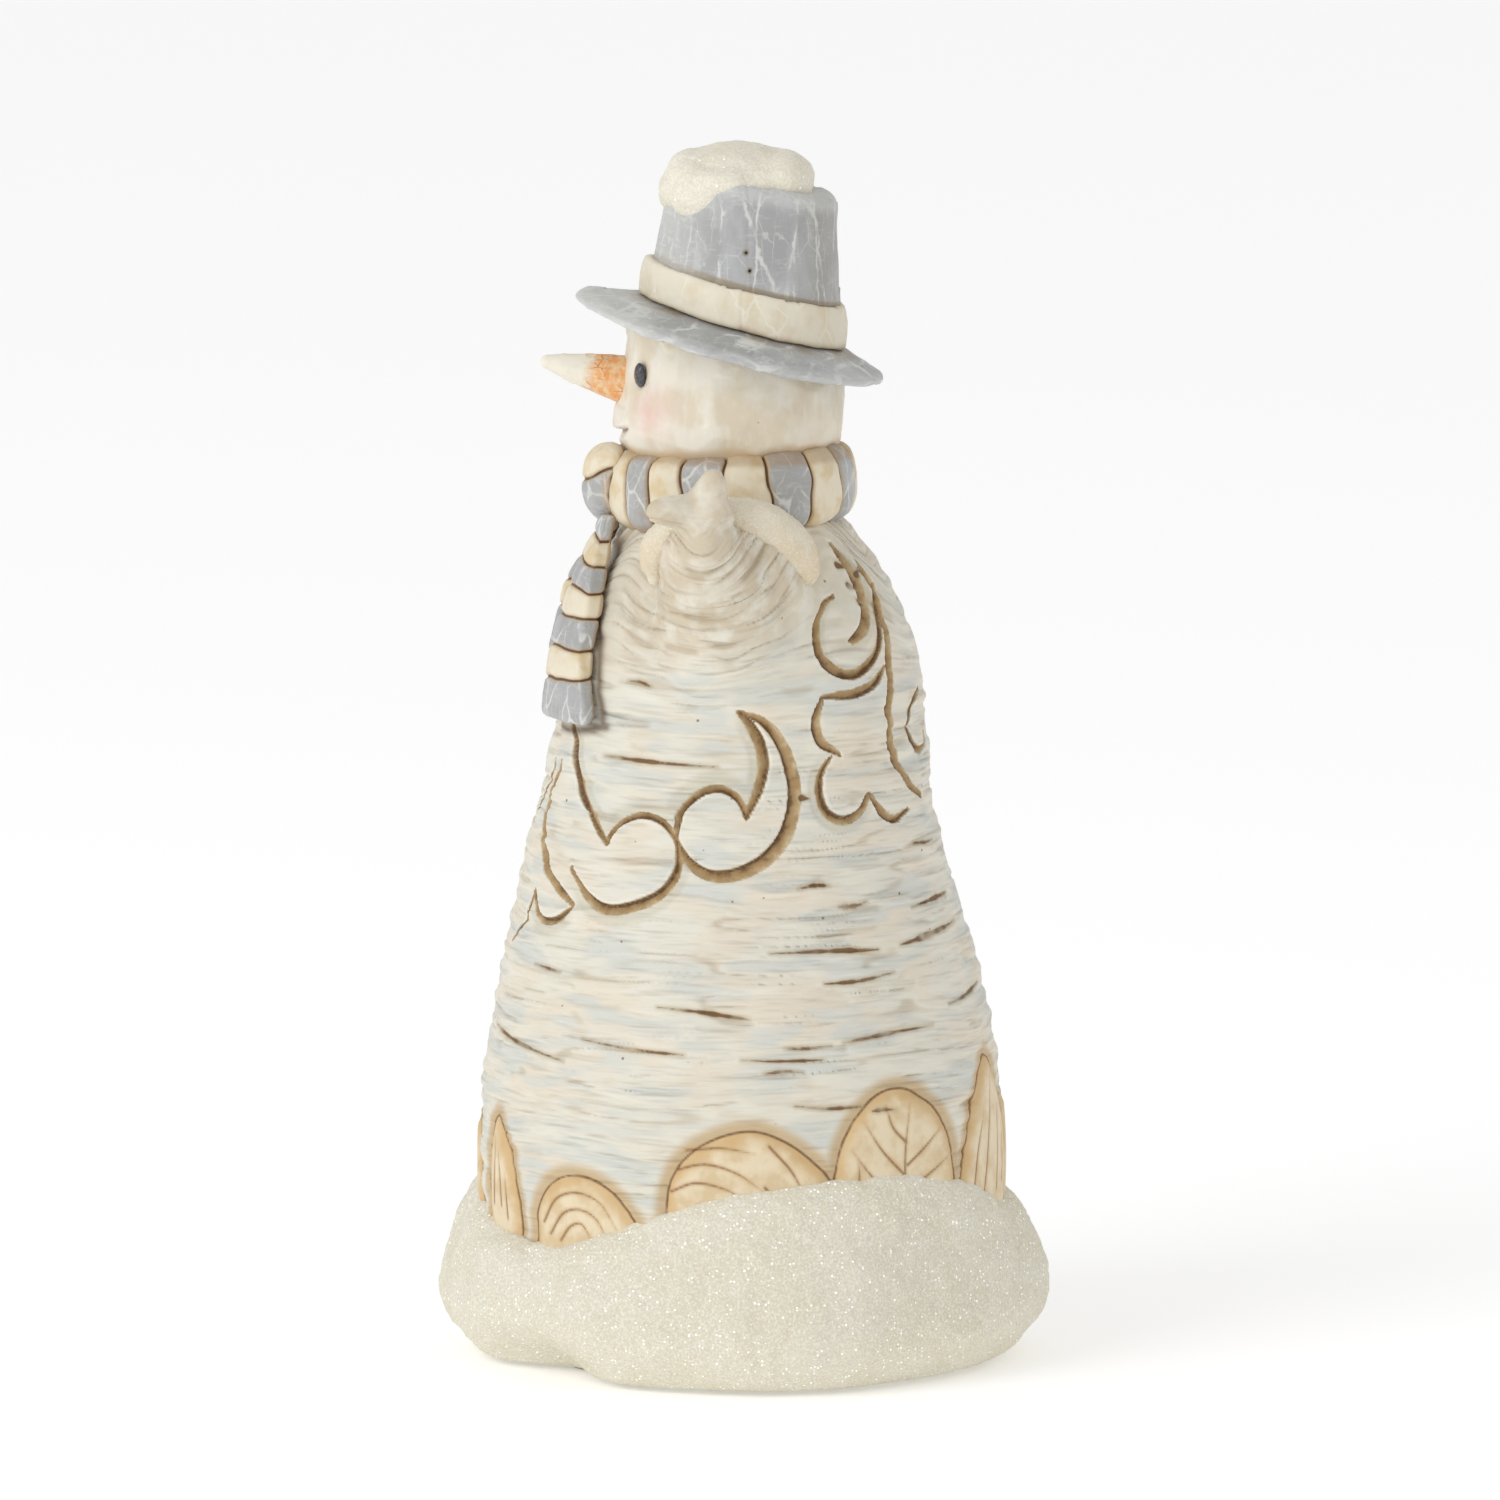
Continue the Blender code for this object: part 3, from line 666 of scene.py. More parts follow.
def ribbon_paint():
    p = Paint("hat_band_paint", 0.5)
    colour = p.mix(0.45, cream_layers(p), RIBBON_CREAM)
    colour = crackle(p, colour, RIBBON_CRACK, 4.5, (1, 1, 1.6), 0.5, 0.05)
    return p.done(stain_and_shade_coat(p, colour, RIBBON_STAIN_AND_SHADE, 0.8), p.bump(p.noise(1.0, 4), 0.18, 0.5))


def scarf_paint():
    """Grey and cream stripes with dark brown in the cut lines and a tan bleed beside them."""
    p = Paint("scarf_stripe_paint", 0.5)
    cream = p.between(p.layer("stripe"), 0.4, 0.6)
    colour = p.mix(cream, grey_layers(p, (1, 1, 1.5), 5.0), cream_layers(p))
    colour = stain_and_shade_coat(p, colour, SCARF_STAIN, 0.65)
    ink = p.layer("ink")
    colour = p.over(colour, CUT_BLEED, p.between(ink, 0.9, 0.2), 0.5)
    colour = p.over(colour, CUT_INK, p.between(ink, 0.34, 0.14), p.patches(1.5, 3, 0.12, 0.42))
    return p.done(colour, p.bump(p.noise(0.9, 4), 0.18, 0.5))


def face_paint():
    p = Paint("face_paint", 0.42)
    colour = p.mix(p.patches(8, 3, 0.4, 0.65), FACE, FACE_TAN)
    colour = p.over(colour, FACE_STREAK, p.patches(1.6, 3, 0.5, 0.72, (1, 1, 3)), 0.35)
    blush = p.times(p.layer("blush"), p.patches(2.5, 3, 0.1, 0.6))
    colour = p.over(colour, BLUSH, blush, 0.55)
    # Stain round the collar, and painted shade low at the back
    colour = p.over(colour, FACE_STAIN_AND_SHADE, p.layer("stain"), 0.85)
    colour = p.over(colour, FACE_SPECK, p.between(p.cells(5.5), 0.05, 0.03), 0.4)
    colour = p.over(colour, MOUTH_INK, p.between(p.layer("ink"), 0.6, 0.15), 0.85)
    return p.done(colour, p.bump(p.noise(1.4, 4), 0.14, 0.5))


def carrot_paint():
    p = Paint("carrot_paint", 0.45)
    orange = p.mix(p.patches(1.2, 4, 0.35, 0.65), ORANGE, PALE_ORANGE)
    orange = crackle(p, orange, ORANGE_CRACK, 1.7, (1, 1.8, 1), 0.8, 0.08)
    edge = p.between(p.plus(p.layer("root"), p.times(p.noise(1.2, 3), 0.35)), 0.64, 0.8)
    return p.done(p.mix(edge, CARROT_TIP, orange), p.bump(p.noise(1.0, 4), 0.14, 0.5))


def coal_paint():
    p = Paint("coal_paint", 0.3)
    colour = p.mix(p.patches(0.5, 3, 0.35, 0.6), COAL, COAL_SHINE)
    colour = p.mix(p.between(p.layer("lid"), 0.35, 0.7), colour, LID)
    p.shader.inputs["Coat Weight"].default_value = 0.4
    return p.done(colour, p.bump(p.noise(0.7, 3), 0.08, 0.5))


def fibre_paint(name, roughness, fibres, colours, bump):
    """Felt or bare wood. fibres: size in mm, detail and stretch. bump: depth in mm and strength."""
    p = Paint(name, roughness)
    fibre = p.noise(*fibres)
    return p.done(p.mix(p.between(fibre, 0.35, 0.65), *colours), p.bump(fibre, *bump))


def wear(obj, material, slot, *nodes):
    """Finishes a piece: its material, its body and the nodes it stands for. slot: not used."""
    obj.data.materials.clear()
    obj.data.materials.append(material)
    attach(obj, "root")
    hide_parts(*nodes)


# --- Carving on the log ---------------------------------------------------------------------------

# Scrolls: side of the ramp (+1 is to the left of the way the line runs), ramp width at the start, middle
# and end, width of the pale shoulder beyond it, and points in degrees round and height
SCROLLS = [
    # Middle comma: outer edge, curl, and the inner edge back to the tip
    (+1, (0.4, 2.5, 0.8), 0.0, [(-1, 121), (7, 118.5), (13, 113.5), (15.8, 107), (14, 101), (9, 96.5),
                                (1, 93.5), (-7, 93), (-13.5, 95.5), (-17, 98.5)]),
    (+1, (0.8, 1.2, 0.9), 3.0, [(-17, 98.5), (-15.5, 103), (-10, 106.3), (-4, 106.8), (0.5, 105),
                                (3, 102)]),
    (+1, (0.8, 2.0, 0.4), 1.6, [(3, 102), (7, 106.5), (9, 111), (7.5, 115.5), (3.5, 119), (-1, 121)]),
    # Left comma
    (+1, (0.4, 1.5, 0.8), 2.0, [(-66, 120), (-61, 113), (-56, 107), (-49, 102), (-39, 96.5)]),
    (+1, (0.7, 1.0, 0.8), 2.6, [(-39, 96.5), (-35.5, 100), (-28.5, 101.8), (-22, 101), (-17, 98)]),
    (+1, (0.7, 1.9, 0.4), 2.0, [(-17, 98), (-16.5, 93.5), (-20.5, 89.5), (-28, 87), (-36, 86), (-44, 88),
                                (-51, 92)]),
    (-1, (0.6, 1.7, 0.6), 0.0, [(-66, 110), (-70.5, 103), (-70, 97), (-63, 92), (-55, 88), (-48, 85.5)]),
    (+1, (0.5, 1.2, 0.4), 2.2, [(-48, 85), (-55, 82.5), (-62, 82.5), (-69, 86.5)]),
    (+1, (0.4, 1.6, 0.6), 0.0, [(-72, 110), (-80, 103), (-88, 97)]),
    (+1, (0.4, 1.0, 0.4), 0.0, [(-69, 86), (-71, 81), (-78, 76.5)]),
    # Back scroll: curls, trunk and leaf
    (+1, (0.5, 2.4, 1.0), 1.2, [(49, 149), (52.5, 144), (52, 139), (47, 135), (40, 132.5)]),
    (+1, (0.5, 1.7, 0.8), 0.8, [(38, 140.5), (31, 139), (26, 135), (25.5, 130.5), (30, 127.5), (38, 126),
                                (47, 127.5), (55, 131), (59, 136), (64, 141.5)]),
    (+1, (0.7, 1.8, 1.0), 0.0, [(60, 146), (61.5, 140.5), (59, 134), (55.5, 126), (53, 118.5), (54.5, 112),
                                (61, 106), (70, 103)]),
    (-1, (0.4, 1.7, 0.4), 0.0, [(55, 127.5), (49, 124.5), (40, 122.8), (26, 123)]),
    (+1, (0.4, 1.7, 0.4), 0.0, [(26, 123), (23, 119), (25, 115), (33, 112.5)]),
    (-1, (0.4, 1.6, 0.6), 1.6, [(29.5, 112.5), (26, 108.5), (27, 104), (32, 101.7), (38, 102.5),
                                (43, 105.5)]),
    (+1, (0.4, 1.4, 0.4), 0.0, [(43, 105.5), (46, 102), (52, 99.8), (60, 101.5)]),
    (-1, (0.4, 1.3, 0.4), 0.0, [(78, 122), (70, 119.5), (66, 116), (69, 112.5), (77, 112), (80, 115.5)]),
]

# Short knife nicks beside the back scroll: start and end, degrees and height
NICKS = [((48, 145.5), (53, 144.8)), ((49, 142), (53.5, 141.2)), ((51, 139), (54, 138.4)),
         ((57, 143.5), (60, 144.2)), ((19.5, 105.5), (22, 105.3))]

# Dark cracks in the bark: the two ends in degrees and height, and the widest half-height
CRACKS = [((-45, 112), (-6, 111.2), 0.42), ((8, 78.6), (38, 78.2), 0.5), ((21, 73), (41, 74), 0.35),
          ((-20, 69), (2, 67.2), 0.45), ((-78, 61.5), (-44, 58), 0.42), ((-39, 62.3), (-13, 60.8), 0.26),
          ((24, 62.6), (51, 64), 0.4), ((58, 67), (79, 69), 0.42), ((45, 78.5), (75, 80.5), 0.62),
          ((53, 84.6), (74, 85.6), 0.5), ((28, 86.2), (37, 86.6), 0.5), ((17, 89.6), (26, 90), 0.4),
          ((10, 62), (21, 62.2), 0.25), ((0, 60), (19, 59.8), 0.25), ((5, 57.6), (14, 57.8), 0.25),
          ((12, 51.8), (28, 51.2), 0.3), ((30, 50.2), (36, 50), 0.42), ((-60, 74), (-49, 73.4), 0.2),
          ((60, 95.5), (72, 95.2), 0.25), ((-40, 125.5), (-31, 124.8), 0.22)]

# Leaves along the foot: outline in degrees and height, then veins
LEAVES = [
    ([(-16, 22), (-16.5, 33), (-15.5, 38.5), (-11, 43.5), (-4, 46.6), (3, 47.4), (10, 45.3), (16, 41.5),
      (20, 37.5), (22, 24)],
     [[(-14, 40.5), (-8, 41.6), (-1, 40), (5, 36.5)], [(-15.5, 36.5), (-10, 38.2), (-3, 37), (1, 35)],
      [(6, 44.8), (11, 40), (14, 35)], [(-9, 34.2), (-3, 34), (3, 31)],
      [(-12, 44), (-4, 44.5), (3, 43.5)], [(5, 37.5), (8, 34.5), (10, 32)]]),
    ([(20.5, 24), (20.5, 38), (22.5, 44.5), (27, 50), (33, 53.4), (39, 53.6), (45, 51.2), (50, 47),
      (53, 41), (54, 24)],
     [[(38, 30), (38, 42), (40, 51)], [(38, 38), (32, 43), (28, 48)], [(38, 34), (30, 38), (24.5, 43.5)],
      [(38, 30.5), (30, 33), (22.5, 37.5)], [(38.5, 40), (44, 43), (49, 46)],
      [(38, 35.5), (45, 38), (52, 41)], [(38.5, 44), (35, 47), (33.5, 51)],
      [(23.5, 34), (26, 37.5), (26, 42)]]),
    ([(55, 24), (55.5, 34), (59, 43), (64, 50.5), (73, 56.5), (79, 51), (83, 43), (84, 24)],
     [[(66, 32), (69, 42), (73, 53)], [(61, 33), (63, 40), (67, 47)], [(74, 32), (75, 40), (76, 48)],
      [(79, 33), (79.5, 38), (79, 44)]]),
    ([(-51, 20), (-50.5, 31), (-47.5, 35), (-42, 37.6), (-36, 37.8), (-30, 36), (-25.5, 32.5), (-22, 28),
      (-20, 20)],
     [[(-48, 29), (-44, 33.5), (-38, 35), (-32, 33.5), (-28, 29)],
      [(-46, 27), (-42, 31), (-37.5, 32), (-33, 30.5), (-30, 26)],
      [(-43, 26), (-40, 28.8), (-37, 29.4), (-34, 26)]]),
    ([(-73, 22), (-72.5, 36), (-71.5, 42.5), (-68.5, 46), (-65, 44), (-61, 39), (-58, 32), (-56.5, 22)],
     [[(-69, 30), (-68.5, 36), (-68, 42)], [(-65, 30), (-65.5, 35), (-66.5, 40)],
      [(-62, 28), (-62.5, 32), (-63, 36)]]),
    ([(-99, 20), (-98.5, 34), (-95, 41), (-90, 43.5), (-85, 41), (-81.5, 34), (-81, 20)],
     [[(-90, 28), (-90, 35), (-90, 41)], [(-90, 31), (-94, 34), (-96.5, 36)],
      [(-90, 31), (-86, 34), (-83.5, 36)]]),
    ([(85.5, 24), (86, 38), (89, 47), (94, 47), (97, 38), (97.5, 24)],
     [[(91.5, 30), (91.5, 38), (91.5, 45)]]),
]


def near_line(angles, heights, half, line, reach):
    """Distance in mm from each nearby point to a line, the side it is on, and how far along it is."""
    line = np.array(line)
    wide = np.degrees(reach / half)
    rows = np.flatnonzero((heights > line[:, 1].min() - reach) & (heights < line[:, 1].max() + reach)
                          & (angles > line[:, 0].min() - wide) & (angles < line[:, 0].max() + wide))
    best, side, along = np.full(len(rows), 1e9), np.ones(len(rows)), np.zeros(len(rows))
    scale = np.radians(half[rows])
    for i, ((angle, height), (next_angle, next_height)) in enumerate(zip(line, line[1:])):
        across, up = (angles[rows] - angle) * scale, heights[rows] - height
        run, rise = (next_angle - angle) * scale, next_height - height
        share = np.clip((across * run + up * rise) / (run * run + rise * rise + 1e-9), 0, 1)
        across, up = across - share * run, up - share * rise
        distance = across * across + up * up
        closer = distance < best
        best[closer] = distance[closer]
        side[closer] = np.sign(run * up - rise * across)[closer]
        along[closer] = ((i + share) / (len(line) - 1))[closer]
    return rows, np.sqrt(best), side, along


# Painted shadow in the corners beside and under the scarf ends: points in degrees and height, and width
PAINTED_SHADOW_LINES = [([(-72, 147), (-68, 140), (-57, 130), (-51.5, 123), (-47.5, 117.5)], 1.1),
           ([(-46, 117), (-60, 115.5), (-74, 115.5)], 0.9)]
RING_PITCH = 2.3  # between the ridges round the arms
ARM_Y, ARM_Z = -7.5, 155  # the middle of an arm, seen from the side


def at_least(layer, rows, values):
    layer[rows] = np.maximum(layer[rows], values)


def at_most(layer, rows, values):
    layer[rows] = np.minimum(layer[rows], values)


class Carving:
    """Gathers what the knife and the brush do at each point of the log."""

    def __init__(self, points):
        self.half, middle = oval(BODY_PROFILE, points[:, 2])
        self.heights = points[:, 2]
        raw = np.degrees(np.arctan2(points[:, 1] - middle, points[:, 0] / BODY_FLATTEN))
        angles = np.where(raw > 90, 180 - raw, np.where(raw < -90, -180 - raw, raw))
        # Both sides of the log carry the same carving. Strokes that cross the front or back centre line
        # are seen from both sides of the fold.
        self.folds = [angles, 180 - angles, -180 - angles]
        count = len(points)
        # Depth of the cut; then from 0 to 1: brown stain, shallow shoulder beyond the ramp, and painted
        # shadow
        self.cut, self.wash, self.halo, self.smudges = np.zeros((4, count))
        # Distance in mm to the nearest dark line, vein and crack
        self.ink, self.vein, self.crack = np.full((3, count), 5.0)
        self.leaf = np.full(count, -8.0)  # mm inside a leaf

    def lines(self, line, reach):
        for angles in self.folds:
            rows, distance, side, along = near_line(angles, self.heights, self.half, line, reach)
            if len(rows):
                yield rows, distance, side, along

    def scroll(self, ramp_side, widths, halo, points):
        """A gouge with one steep side, which the line follows, and one sloping side."""
        start, middle, end = widths
        for rows, distance, side, along in self.lines(flowing(points, 6), middle + halo + 0.6):
            edge = np.abs(2 * along - 1) ** 2.4
            ramp = middle + (np.where(along < 0.5, start, end) - middle) * edge
            across = distance * np.where(side * ramp_side > 0, 1, -1)
            inside = np.where((along <= 0) | (along >= 1), np.abs(across) * 3, across)
            slope = np.clip(1 - inside / ramp, 0, 1)
            wall = np.clip(1 + across / 0.32, 0, 1)
            deep = np.minimum(0.95, 0.25 + 0.42 * ramp)
            at_least(self.cut, rows, np.where(across > 0, slope ** 0.9, wall) * deep)
            stain = step(1.0, 0.82, inside / ramp) * (1 - 0.6 * np.clip(inside / ramp, 0, 1) ** 0.7)
            at_least(self.wash, rows, np.where(across > 0, stain, wall))
            at_most(self.ink, rows, distance + 0.25 * edge)
            shoulder = step(1.0, 0.5, (inside - ramp) / max(halo, 0.1)) * (inside > 0) * (1 - edge ** 2)
            at_least(self.halo, rows, shoulder * min(halo, 1))

    def nick(self, start, end):
        """A short cut, widest where it starts."""
        for rows, distance, _side, along in self.lines(flowing([start, end], 12), 2.0):
            at_most(self.crack, rows, distance - 0.55 * (1 - along))

    def split(self, start, end, half_height, seed):
        """A crack in the bark, wider towards one end, with a ragged edge."""
        middle = ((start[0] + end[0]) / 2, (start[1] + end[1]) / 2 + 0.35 * math.sin(seed * 2.4))
        for rows, distance, _side, along in self.lines(flowing([start, middle, end], 30), 2.5):
            lean = along if seed % 2 else 1 - along
            body = half_height * np.sin(math.pi * lean ** 1.7) ** 0.8 + 0.1 * np.sin(math.pi * along)
            ragged = 1 + 0.2 * np.sin(along * 19 + seed) + 0.12 * np.sin(along * 43 + 2 * seed)
            at_most(self.crack, rows, distance - 0.62 * body * ragged)

    # Painted shadow along a line, fading over its width
    def smudge(self, points, width):
        for rows, distance, _side, _along in self.lines(flowing(points, 8), 2 * width):
            at_least(self.smudges, rows, bell(distance, width))

    def leaf_shape(self, outline, veins):
        line = flowing(outline, 12)
        for angles in self.folds:
            rows, distance, _side, _along = near_line(angles, self.heights, self.half, line, 8.0)
            if not len(rows):
                continue
            x, y = angles[rows], self.heights[rows]
            inside = np.zeros(len(rows), bool)
            for (x0, y0), (x1, y1) in zip(line, np.roll(line, -1, axis=0)):
                crosses = (y0 > y) != (y1 > y)
                meets = x0 + (y - y0) / (y1 - y0 if y1 != y0 else 1e-9) * (x1 - x0)
                inside ^= crosses & (x < meets)
            at_least(self.leaf, rows, np.where(inside, distance, -distance))
            at_most(self.ink, rows, distance + 0.08)
        for vein in veins:
            for rows, distance, _side, along in self.lines(flowing(vein, 12), 2.0):
                at_most(self.vein, rows, distance + 0.3 * along ** 3)


def arm_reach(points):
    """How far a point is from the arms' middle, seen from the side."""
    return np.hypot(points[:, 1] - ARM_Y, points[:, 2] - ARM_Z)


def bark_level(points):
    """Which bark line a point is on, in mm: lines are level, but run in rings round each arm."""
    y, z = points[:, 1] - ARM_Y, points[:, 2] - ARM_Z
    round_arm = bell(np.maximum(arm_reach(points) - 14, 0), 18) * step(4, 16, np.abs(points[:, 0]))
    drop = np.sqrt(np.minimum(z, 0) ** 2 + y * y * round_arm * step(3, -3, z))
    return ARM_Z + 0.3 * np.maximum(z, 0) - drop + 0.6 * noise(points, (24, 24, 10), 5)


def plan_carving(points):
    """All the strokes on the log."""
    carving = Carving(points)
    for outline in SCROLLS:
        carving.scroll(*outline)
    for start, end in NICKS:
        carving.nick(start, end)
    for seed, (start, end, half_height) in enumerate(CRACKS):
        carving.split(start, end, half_height, seed)
    for outline, veins in LEAVES:
        carving.leaf_shape(outline, veins)
    for line, width in PAINTED_SHADOW_LINES:
        carving.smudge(line, width)
    return carving


def carve_bark(obj):
    """Cuts the bark lines, scrolls, leaves and cracks into the log and writes the paint layers."""
    points = points_of(obj)
    across, reach = np.abs(points[:, 0]), arm_reach(points)
    level = bark_level(points)
    flow = np.c_[points[:, :2], level]
    near_arm = step(37, 22, reach) * step(8, 18, across) * step(4, 7.5, reach)
    near_arm *= step(156.5, 153, points[:, 2])
    carving = plan_carving(points)

    swell = 0.24 * noise(flow, (14, 14, 3.2), 11) + 0.26 * noise(flow, (9, 9, 1.7), 12)
    cuts = creases(flow, (26, 26, 1.7), 21, 0.14) * step(-0.1, 0.35, noise(flow, (9, 9, 2.4), 22))
    fine = creases(flow, (16, 16, 1.0), 31, 0.2) * step(-0.1, 0.4, noise(flow, (6, 6, 1.6), 32))
    wave = level + 1.3 * noise(flow, (12, 12, 7), 41) + 0.6 * noise(flow, (5, 5, 4), 42)
    ring = np.abs(np.sin(math.pi * wave / RING_PITCH)) ** 0.55
    relief = np.clip(0.8 * cuts + 0.5 * fine, 0, 1)
    calm = step(1.2, -0.8, carving.leaf) * (1 - 0.75 * np.clip(carving.wash * 1.6, 0, 1))
    height = (1.6 * swell * (1 + 0.4 * near_arm) - 0.55 * relief * (1 - 0.4 * near_arm)) * calm
    uneven = near_arm * step(-0.5, 0.3, noise(flow, (9, 9, 3), 43))
    height += 0.65 * (ring - 0.7) * (0.25 + 0.75 * uneven) * near_arm * calm
    relief = np.clip(relief + 1.3 * (1 - ring) ** 1.6 * uneven, 0, 1)
    height -= carving.cut + 0.24 * carving.halo + 0.3 * step(0.3, -0.2, carving.crack)
    height -= 0.3 * bell(carving.leaf + 0.3, 1.3) + 0.22 * bell(carving.ink, 0.35)
    height -= 0.14 * bell(carving.vein, 0.35)
    height += 0.28 * step(0.3, 2.2, carving.leaf)
    raise_surface(obj, height)
    # Darker near the arms, and painted shade towards the top of the log
    dull = 0.7 * step(30, 18, reach) * step(10, 24, across) + 0.4 * step(124, 144, points[:, 2])
    write_layers(obj, level=level, relief=relief * calm, dull=np.clip(dull, 0, 1), wash=carving.wash,
                 ink=carving.ink, vein=carving.vein, crack=carving.crack, leaf=carving.leaf,
                 halo=carving.halo, smudge=carving.smudges)


def log_rings():
    heights = np.linspace(LOG_FOOT, LOG_TOP, thinned(90))[:, None]
    around = full_turn(220)
    half, middle = oval(BODY_PROFILE, heights)
    return xyz(np.cos(around) * (half * BODY_FLATTEN), middle + np.sin(around) * half, heights)


def flipped(path, side):
    """A path for the left side, carried to the given one."""
    return [(x * side, y, z, r) for x, y, z, r in path]


def cut_off(obj, name, at, axis, keep_outer):
    """A copy of obj on one side of each plane through a point of at, with the cuts closed."""
    mesh = obj.data.copy()
    cage = bmesh.new()
    cage.from_mesh(mesh)
    for point, normal in zip(at, axis, strict=True):
        bmesh.ops.bisect_plane(cage, geom=cage.verts[:] + cage.edges[:] + cage.faces[:],
                               plane_co=Vector(point) * MM, plane_no=Vector(normal),
                               clear_outer=not keep_outer, clear_inner=keep_outer)
        bmesh.ops.contextual_create(cage, geom=[e for e in cage.edges if e.is_boundary])
    cage.to_mesh(mesh)
    cage.free()
    mesh.name = name
    return add_object(name, mesh)


def make_log():
    parts = [shell("log_core", log_rings())]
    for side, _name in SIDES:
        for i, path in enumerate((BRANCH, SHOULDER, FRONT_TWIG, TOP_TWIG)):
            parts.append(shell(f"limb_{side}_{i}", tube_points(flipped(path, side))))
    whole = fuse("birch_log", parts, BARK_VOXEL, 14)
    carve_bark(whole)
    paint = bark_paint()
    cuts, axes = [[(side * x, y, z) for side, _name in SIDES] for x, y, z in (ARM_CUT, ARM_AXIS)]
    for (_side, name), cut, axis in zip(SIDES, cuts, axes, strict=True):
        arm = cut_off(whole, f"branch_{name}", [cut], [axis], True)
        wear(arm, paint, "birch_bark", f"arm_{name}")
    log = cut_off(whole, "birch_log_body", cuts, axes, False)
    bpy.data.objects.remove(whole)
    wear(log, paint, "birch_bark", "birch_body")


# --- Snow -----------------------------------------------------------------------------------------

# Degrees round the log and height where the snow meets it
RIM_HEIGHTS = [(-180, 30), (-135, 33), (-90, 30), (-62, 25.5), (-45, 24.5), (-30, 28), (-12, 33.0),
               (5, 35.5), (22, 37.5), (40, 36.5), (60, 33.5), (78, 29.5), (90, 29), (135, 33), (180, 30)]
CREST_TURN = 0.62 * math.pi  # how far over the snow rolls before it meets the log
# The outside of the snow: share of the way up and over it, height and reach
BELLY = [(0.0, 0.6, 42.0), (0.08, 0.9, 46.6), (0.2, 3.6, 50.4), (0.34, 8.6, 53.8), (0.48, 14.0, 54.2),
         (0.6, 19.5, 52.0)]
MOUND_FLATTEN, MOUND_MIDDLE = 0.945, -0.3
MOUND_PAINT = (230, 225, 208), (226, 220, 200), 0.7
LOWEST = 0.06  # keeps the snow clear of the table
DENT_ANGLE, DENT_WIDTH = -54, 15


def make_mound():
    """The snow that the log stands in: bulging over the table and rolled in against the log."""
    around = np.linspace(-math.pi, math.pi, thinned(760), endpoint=False)
    degrees = np.degrees(around)
    rim = spline(RIM_HEIGHTS, degrees)[:, 0]
    half, _middle = oval(BODY_PROFILE, rim)
    lobes = (1 + 0.016 * np.sin(3 * around + 0.9) + 0.012 * np.sin(5 * around + 0.6)
             + 0.009 * np.sin(9 * around - 1.0))
    rings = []
    for share in np.linspace(0, 1, thinned(210)):
        low, reach = spline(BELLY, share)
        inward = step(0.5, 1.0, share)
        climb = math.sin(max(share - 0.5, 0) * 2 * CREST_TURN) / math.sin(CREST_TURN)
        height = low + (rim - low) * climb
        dent = 0.21 * bell(degrees - DENT_ANGLE, DENT_WIDTH) * step(13, 0, height)
        reach = reach * lobes * (1 - dent) * (1 - inward) + (half - 1.2) * inward
        rings.append(xyz(np.cos(around) * reach * MOUND_FLATTEN, np.sin(around) * reach + MOUND_MIDDLE,
                         height))
    obj = shell("snow_mound", np.array(rings))
    points = points_of(obj)
    fade = step(0.3, 4.0, points[:, 2])
    height = (0.7 * rough(points, 15, 3, 2) + 0.3 * rough(points, 4.5, 9, 2)) * fade
    height += 0.12 * rough(points, 1.3, 14, 2) + 0.08 * noise(points, 0.55, 19)
    raise_surface(obj, height)
    points = points_of(obj)
    points[:, 2] = np.maximum(points[:, 2], LOWEST)
    set_points(obj, points)
    wear(obj, snow_paint("mound_snow", *MOUND_PAINT), "glitter_snow", "snow_base")


def ball(name, centre, size, tilt=(0, 0, 0)):
    """An egg of snow, to be fused with others."""
    around = full_turn(40)
    up = np.linspace(-0.49 * math.pi, 0.49 * math.pi, 21)[:, None]
    rings = xyz(np.cos(around) * np.cos(up), np.sin(around) * np.cos(up), np.sin(up))
    turn = np.array(Euler([math.radians(a) for a in tilt]).to_matrix())
    return shell(name, (rings * size) @ turn.T + np.array(centre))


def heap(name, parts, voxel, rounds, node, paint, lump):
    """Loose snow. paint: its colour, its shade and the share of the grit without glitter."""
    obj = fuse(name, parts, voxel, rounds)
    points = points_of(obj)
    raise_surface(obj, lump * rough(points, 6, 4, 2) + 0.1 * rough(points, 1.1, 8, 2)
                  + 0.07 * noise(points, 0.5, 12))
    wear(obj, snow_paint(f"{name}_snow", *paint), "glitter_snow", node)


# Eggs of snow on the hat: centre, size and tilt
CAP = [((0, -0.4, 212.9), (13.2, 12.0, 6.5), (-9, 0, 0)), ((0, 6.8, 213.0), (12.2, 5.8, 5.2), (-10, 0, 0)),
       ((0, -8.4, 213.0), (12.0, 6.2, 5.4)), ((8.8, -7.0, 211.0), (5.2, 6.6, 4.9)),
       ((11.0, -3.6, 213.4), (3.6, 5.4, 3.0)), ((-9.2, -9.0, 211.2), (4.6, 5.0, 4.6)),
       ((-11.2, -0.6, 212.8), (3.4, 6.4, 3.2)), ((1.5, -12.9, 211.2), (7.4, 2.6, 3.6))]
CAP_PAINT = (238, 233, 217), (234, 228, 210), 0.78

# The snow over an arm, from front to back: x, y, z and radius
SADDLE = [(27.6, -15.9, 145.2, 1.7), (28.8, -15.9, 148.6, 3.0), (30.4, -13.6, 152.2, 3.3),
          (32.0, -8.0, 155.4, 3.1), (32.6, -3.0, 156.4, 3.1), (31.2, 1.6, 155.6, 3.8),
          (28.6, 5.2, 152.5, 4.5), (26.0, 8.4, 148.9, 4.4), (24.6, 10.3, 145.5, 3.3)]
SADDLE_PAINT = (228, 218, 197), (222, 206, 177), 0.85


